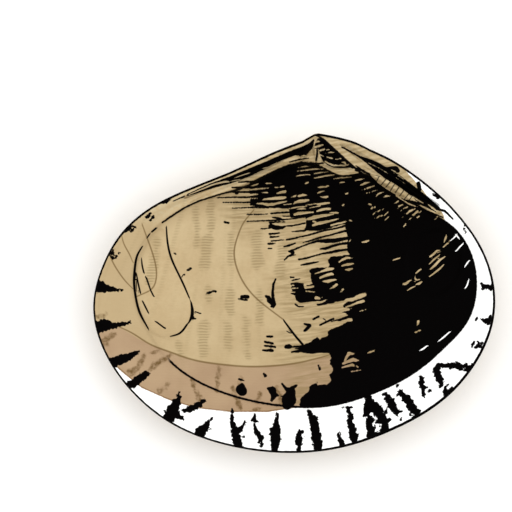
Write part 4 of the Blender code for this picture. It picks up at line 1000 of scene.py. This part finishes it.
class Paint:
    """The shader nodes of one material, each added and wired in one call."""

    def __init__(self, name):
        self.material = bpy.data.materials.new(name)
        self.material.use_nodes = True
        self.tree = self.material.node_tree
        self.surface = self.tree.nodes["Principled BSDF"]

    def feed(self, socket, value):
        if isinstance(value, bpy.types.NodeSocket):
            self.tree.links.new(value, socket)
        else:
            socket.default_value = value

    def node(self, kind, inputs, output=0, **settings):
        node = self.tree.nodes.new("ShaderNode" + kind)
        for name, value in settings.items():
            setattr(node, name, value)
        for name, value in inputs.items():
            self.feed(node.inputs[name], value)
        return node.outputs[output]

    def math(self, operation, first, second=0.0):
        return self.node("Math", {0: first, 1: second}, operation=operation)

    def read(self, name):
        return self.node("Attribute", {}, "Fac", attribute_name=name)

    def parts(self, name):
        """The three numbers of a stored vector."""
        split = self.node("SeparateXYZ", {0: self.node("Attribute", {}, "Vector", attribute_name=name)}).node
        return list(split.outputs)

    def place(self, name, stretch):
        """A stored vector times a stretch on each axis."""
        vector = self.node("Attribute", {}, "Vector", attribute_name=name)
        return self.node("VectorMath", {0: vector, 1: stretch}, operation="MULTIPLY")

    def fold(self, operation, values):
        total = values[0]
        for value in values[1:]:
            total = self.math(operation, total, value)
        return total

    def sum(self, *values):
        return self.fold("ADD", values)

    def times(self, *values):
        return self.fold("MULTIPLY", values)

    def most(self, *values):
        return self.fold("MAXIMUM", values)

    def noise(self, place, size, detail=2.0, spread=1.0):
        """Noise about zero, mostly within half the spread either way, with grains of that size."""
        value = self.node("TexNoise", {"Vector": place, "Scale": 1 / size, "Detail": detail}, "Fac")
        return self.node("Math", {0: value, 1: 2 * spread, 2: -spread}, operation="MULTIPLY_ADD")

    def step(self, value, low, high):
        """0 below the first bound, 1 above the second; the other way round if the first is the higher."""
        start, end = (0.0, 1.0) if low < high else (1.0, 0.0)
        low, high = min(low, high), max(low, high)
        bounds = {"Value": value, "From Min": low, "From Max": high, "To Min": start, "To Max": end}
        return self.node("MapRange", bounds, interpolation_type="SMOOTHSTEP")

    def blend(self, share, first, second):
        node = self.tree.nodes.new("ShaderNodeMix")
        node.data_type = "RGBA"
        for socket, value in ((0, share), (6, first), (7, second)):
            self.feed(node.inputs[socket], value)
        return node.outputs[2]

    def strokes(self, name, soft, rough=0.0, wider=0.0):
        """1 inside the stored strokes."""
        return self.step(self.sum(self.read(name), rough), wider + soft, wider - soft)

    def thin_strokes(self, name, soft, wider=1.0):
        """1 inside the stored strokes thinner than the mesh, which keep both sides of their middle line."""
        end_fade = (0.22, 0.14)
        offset, half, outside = self.parts(name)
        away = self.sum(self.math("ABSOLUTE", offset), self.times(half, -wider))
        return self.times(self.step(away, soft, -soft), self.step(outside, *end_fade))

    def finish(self, colour, roughness, shine, relief):
        """Wires the results to the surface."""
        for name, value in (("Base Color", colour), ("Roughness", roughness), ("Normal", relief),
                            ("Specular IOR Level", shine)):
            self.feed(self.surface.inputs[name], value)


def colour(*screen):
    """A screen colour, 0 to 255, as the light that the shader reckons with."""
    return tuple(((c / 255 + 0.055) / 1.055) ** 2.4 if c > 10 else c / 3295 for c in screen) + (1.0,)


# Paint of the inside: smooth lime, tan in the bowl, pinkish and then white towards the lip, with dark marks
# and painted shade.
# A noise has its grain's size in millimetres, its detail and its spread. A step runs between its two numbers.
light_tan = colour(197, 176, 137)
deep_tan = colour(184, 161, 122)
low_tan = colour(174, 152, 115)
plate_tan = colour(187, 171, 137)
light_pink = colour(172, 146, 115)
deep_pink = colour(162, 135, 106)
shade_column_tan = colour(150, 131, 94)
# painted shade: the columns' streaks, then the streaks beside the dark hind part
shade_hatching_brown = colour(136, 116, 78)
old_brown = colour(94, 70, 34)
thin_brown = colour(112, 90, 54)
white_edge_brown = colour(130, 96, 56)
lip_white = colour(253, 253, 251)
# black of the marks and outlines, and of the painted shade in the bowl, pit and hinge
mark_and_shade_black = colour(3, 2, 2)
soft_edge = 0.05
cloud_size = 6.0
fine_size = 0.7
low_share = 0.45
band_share = 0.75
plate_heights = (-16.0, -11.0)

inner = Paint("inside")
plan = inner.place("plan", (1, 1, 0))
across, up, _ = inner.parts("plan")
past = inner.read("past_line")
from_painted_shade = inner.read("painted_shade_within")
from_white = inner.read("white_within")
cloudy = inner.noise(plan, cloud_size, 3, 1.0)
fine = inner.noise(plan, fine_size, 3, 1.0)
base = inner.blend(inner.step(inner.sum(cloudy, inner.times(fine, 0.35)), -0.5, 0.5), deep_tan, light_tan)
low_down = inner.step(inner.sum(up, cloudy), -18.0, -38.0)
deeper = inner.most(inner.times(low_down, low_share), inner.times(inner.step(past, -3.0, 0.5), band_share))
base = inner.blend(deeper, base, low_tan)
on_plate = inner.times(inner.step(past, 0.1, 0.6), inner.step(up, *plate_heights))
base = inner.blend(on_plate, base, inner.blend(inner.step(fine, -0.5, 0.5), deep_tan, plate_tan))
pinkness = inner.step(inner.sum(inner.read("pink_below"), inner.noise(plan, 2.0, 2, 0.25)), -0.1, 0.3)
base = inner.blend(pinkness, base, inner.blend(inner.step(cloudy, -0.5, 0.5), deep_pink, light_pink))

# Painted shade on the bowl: columns of short cross streaks, and browner streaks beside the dark part
column_share = 0.75
gap_share = 0.25
faint_hatching_share = 0.7
smudge_share = 0.9
brown_line_share = 0.85
white_edge_share = 0.8
columns = inner.strokes("columns", 0.45, inner.noise(plan, 1.6, 2, 0.9))
faint_columns = inner.step(inner.noise(inner.place("fan", (1.0, 0.035, 0)), 2.6, 1, 1.0), 0.10, 0.45)
wavy = inner.sum(inner.times(inner.parts("along_streaks")[1], 13.0), inner.noise(plan, 2.5, 2, 3.0))
short = inner.step(inner.math("SINE", wavy), -0.7, 0.7)
in_column = inner.most(columns, inner.times(faint_columns, 0.4))
in_streak = inner.sum(gap_share, inner.times(short, 1 - gap_share))
base = inner.blend(inner.times(in_column, in_streak, column_share), base, shade_column_tan)
# painted shade: browner streaks beside the dark hind part
near_painted_shade = inner.step(inner.sum(from_painted_shade, inner.noise(plan, 5.0, 2, 4.0)), -6.0, -0.5)
faint_shade_hatching = inner.step(inner.noise(inner.place("along_streaks", (0.22, 2.2, 0)), 1.0, 3, 1.0), -0.35, 0.35)
base = inner.blend(inner.times(near_painted_shade, faint_shade_hatching, faint_hatching_share), base, shade_hatching_brown)
old_smudge = inner.strokes("brown_strokes", 0.30, inner.noise(plan, 1.0, 3, 0.8), 0.12)
old_smudge = inner.times(old_smudge, inner.step(fine, -0.8, 0.4), smudge_share)
base = inner.blend(old_smudge, base, old_brown)
brown_lines_share = inner.times(inner.thin_strokes("brown_thin", 0.10, 1.5), brown_line_share)
base = inner.blend(brown_lines_share, base, thin_brown)
small = inner.noise(plan, 0.45, 2, 0.10)
white = inner.step(inner.sum(from_white, inner.noise(plan, 1.0, 3, 0.18)), -0.03, 0.06)
base = inner.blend(white, base, lip_white)
white_line = inner.step(inner.math("ABSOLUTE", inner.sum(from_white, small)), 0.17, 0.07)
white_line = inner.times(white_line, inner.step(up, -30.0, -31.0), inner.step(across, 3.0, 2.0))
base = inner.blend(inner.times(white_line, white_edge_share), base, white_edge_brown)

# Painted shade of the bowl's hind part and the pit, the dark strokes, ragged edges, less the light left open
# in it
groove_shade_share = 0.85
ragged = inner.noise(plan, 0.6, 4, 0.58)
bowl_edge = inner.noise(inner.place("plan", (0.6, 1.4, 0)), 1.0, 2, 0.35)
# painted shade over the bowl's dark hind part
bowl_painted_shade = inner.step(inner.sum(from_painted_shade, bowl_edge), -soft_edge, soft_edge)
bowl_painted_shade = inner.times(bowl_painted_shade, inner.step(inner.sum(past, small), 0.22, 0.12))
# painted shade in the ligament pit
pit_painted_shade = inner.step(inner.read("pit_shade_within"), -0.04, 0.06)
mantle_line = inner.step(inner.sum(inner.math("ABSOLUTE", past), small), 0.26, 0.16)
mantle_line = inner.times(mantle_line, inner.step(up, -36.6, -37.2), inner.step(across, -26.0, -25.2))
rough_strokes = inner.strokes("rough_strokes", soft_edge, ragged, 0.05)
thin_strokes = inner.thin_strokes("thin_strokes", soft_edge, 1.25)
# painted shade of the hinge and of the hatching streaks, with the dark flecks
streaks = inner.strokes("streaks", soft_edge, small, 0.03)
light = inner.strokes("light_over", soft_edge, inner.noise(plan, 0.6, 2, 0.10), -0.01)
for name in ("light_lines", "light_between"):
    light = inner.most(light, inner.thin_strokes(name, 0.04, 0.85))
# painted shade of the bowl, pit and hinge, together with the dark marks
dark = inner.most(bowl_painted_shade, pit_painted_shade, rough_strokes, thin_strokes, streaks)
dark = inner.times(dark, inner.step(light, 0.9, 0.1))
rim = inner.step(inner.sum(inner.read("rim"), inner.noise(plan, 0.7, 2, 0.08)), soft_edge, -soft_edge)
# painted shade in the grooves across the hind tooth
ridges = inner.times(inner.thin_strokes("groove_shade_strokes", soft_edge, 1.5), groove_shade_share)
dark = inner.most(dark, mantle_line, rim, ridges)
roughness = inner.sum(0.42, inner.times(dark, 0.25), inner.times(fine, 0.12))
grain = inner.sum(inner.times(fine, 0.5), inner.times(short, 0.3), inner.times(dark, 0.35))
relief = inner.node("Bump", {"Height": grain, "Strength": 0.25, "Distance": 0.0001})
inner.finish(inner.blend(dark, base, mark_and_shade_black), roughness, 0.015, relief)

# Paint of the outside: fawn with brown rays and growth lines, worn chalky at the beak, with the remains of the
# dark skin at the edge. The size is the shell's, in millimetres, when it grew the place.
light_fawn = colour(218, 196, 157)
deep_fawn = colour(190, 163, 122)
patch_fawn = colour(203, 181, 147)
band_grey = colour(166, 142, 120)
ray_brown = colour(118, 78, 46)
ledge_brown = colour(98, 80, 66)
ring_brown = colour(140, 112, 78)
light_chalk = colour(234, 225, 205)
deep_chalk = colour(212, 198, 171)
skin_brown = colour(84, 68, 38)
grey_share = 0.45
ray_share = 0.8
fine_ray_share = 0.55
ledge_share = 0.75
ring_share = 0.35
skin_share = 0.8

outer = Paint("outside")
turn, size, past_pause = outer.parts("skin")
around = outer.place("skin", (1, 0.02, 0))
solid = outer.place("plan", (1, 1, 1))
patchy = outer.noise(solid, 6.0, 4, 1.0)
fine = outer.noise(solid, 0.5, 3, 1.0)
rings = outer.noise(outer.place("skin", (0.02, 1.0, 0)), 0.9, 4, 1.0)
thin_rings = outer.noise(outer.place("skin", (0.05, 1.0, 0)), 0.22, 2, 1.0)
ground = outer.blend(outer.step(rings, -0.45, 0.45), deep_fawn, light_fawn)
ground = outer.blend(outer.step(patchy, -0.2, 0.6), ground, patch_fawn)
band = outer.step(outer.noise(outer.place("skin", (0.0, 1.0, 0)), 5.5, 1, 1.0), 0.05, 0.35)
ground = outer.blend(outer.times(band, grey_share), ground, band_grey)
ray_breaks = outer.noise(outer.place("skin", (0.3, 0.25, 0)), 1.0, 2, 0.45)
broad_rays = outer.sum(outer.noise(around, 7.0, 3, 1.0), ray_breaks)
fine_rays = outer.sum(outer.noise(outer.place("skin", (1, 0.05, 0)), 1.8, 2, 1.0), outer.times(rings, 0.35))
fine_rays = outer.times(outer.step(fine_rays, 0.25, 0.6), fine_ray_share)
ray = outer.most(outer.step(broad_rays, 0.14, 0.32), fine_rays)
ray = outer.times(ray, outer.step(size, 7.0, 22.0), outer.step(past_pause, -0.1, 1.1))
ground = outer.blend(outer.times(ray, ray_share), ground, ray_brown)
ledge = outer.step(outer.sum(past_pause, outer.times(fine, 0.4)), 1.1, 0.1)
ledge = outer.times(ledge, outer.step(size, 12.0, 16.0))
ground = outer.blend(outer.times(ledge, ledge_share), ground, ledge_brown)
ground = outer.blend(outer.times(outer.step(thin_rings, 0.1, 0.5), ring_share), ground, ring_brown)
wear = outer.sum(size, outer.times(patchy, 14.0), outer.times(fine, 2.0), outer.times(rings, 3.0))
worn = outer.step(wear, 24.0, 2.0)
ground = outer.blend(worn, ground, outer.blend(outer.step(fine, -0.5, 0.5), deep_chalk, light_chalk))
skin_left = outer.step(outer.sum(size, outer.times(patchy, 5.0), outer.times(rings, 1.6)), 52.6, 54.4)
ground = outer.blend(outer.times(skin_left, skin_share), ground, skin_brown)
edge_line = outer.step(outer.sum(outer.read("rim"), outer.times(fine, 0.06)), soft_edge, -soft_edge)
ground = outer.blend(edge_line, ground, mark_and_shade_black)
roughness = outer.sum(0.46, outer.times(fine, 0.16), outer.times(worn, 0.25))
lines = outer.sum(outer.times(thin_rings, 0.6), outer.times(rings, 0.5), outer.times(fine, 0.35),
                  outer.times(skin_left, 0.4))
relief = outer.node("Bump", {"Height": lines, "Strength": 0.5, "Distance": 0.00012})
outer.finish(ground, roughness, 0.30, relief)
for paint in (inner, outer):
    mesh.materials.append(paint.material)
mesh.polygons.foreach_set("material_index", (ring_of_face >= inner_rings - 1).astype(np.int32))
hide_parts("valve")
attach(shell, "root")

# The studio: a pale floor without an edge in sight, a large soft light from above and a fill all round. The
# camera looks straight into the valve, square to the plane of its edge.
picture_width = 0.08893
picture_centre = np.array([-0.01042, -0.01961, 0.0])
camera_distance = 0.5
nearest_seen = 0.01
farthest_seen = 10
floor_reach = 2
floor_white = (0.9, 0.9, 0.89, 1)
floor_roughness = 0.9
lamp_place = (0.02, -0.02, 0.86)
lamp_size = 0.8
lamp_power = 3.2
fill_light = (1, 1, 1, 1)
fill_strength = 1.0
floor_mesh = bpy.data.meshes.new("floor")
floor_corners = [(floor_reach * x, floor_reach * y, 0) for x, y in ((-1, -1), (1, -1), (1, 1), (-1, 1))]
floor_mesh.from_pydata(floor_corners, [], [(0, 1, 2, 3)])
floor = bpy.data.objects.new("floor", floor_mesh)
bpy.context.scene.collection.objects.link(floor)
floor_paint = bpy.data.materials.new("floor paint")
floor_paint.use_nodes = True
floor_surface = floor_paint.node_tree.nodes["Principled BSDF"]
floor_surface.inputs["Base Color"].default_value = floor_white
floor_surface.inputs["Roughness"].default_value = floor_roughness
floor_mesh.materials.append(floor_paint)

camera = bpy.data.objects.new("camera", bpy.data.cameras.new("camera"))
camera.data.type = "ORTHO"
camera.data.ortho_scale = picture_width
camera.data.clip_start = nearest_seen
camera.data.clip_end = farthest_seen
straight_back = Vector(lean @ np.array([0.0, 0.0, 1.0]))
aimed_at = Vector(lean @ picture_centre - rest_place)
camera_place = Matrix.Translation(aimed_at + straight_back * camera_distance)
camera.matrix_world = camera_place @ Matrix(lean.tolist()).to_4x4()
bpy.context.scene.collection.objects.link(camera)
bpy.context.scene.camera = camera

softbox = bpy.data.lights.new("softbox", "AREA")
softbox.size = lamp_size
softbox.energy = lamp_power
lamp = bpy.data.objects.new("softbox", softbox)
lamp.location = lamp_place
lamp.rotation_euler = (-lamp.location).to_track_quat("-Z", "Y").to_euler()
bpy.context.scene.collection.objects.link(lamp)
world = bpy.data.worlds.new("studio")
world.use_nodes = True
background = world.node_tree.nodes["Background"]
background.inputs["Color"].default_value = fill_light
background.inputs["Strength"].default_value = fill_strength
bpy.context.scene.world = world
bpy.context.scene.view_settings.view_transform = "Standard"
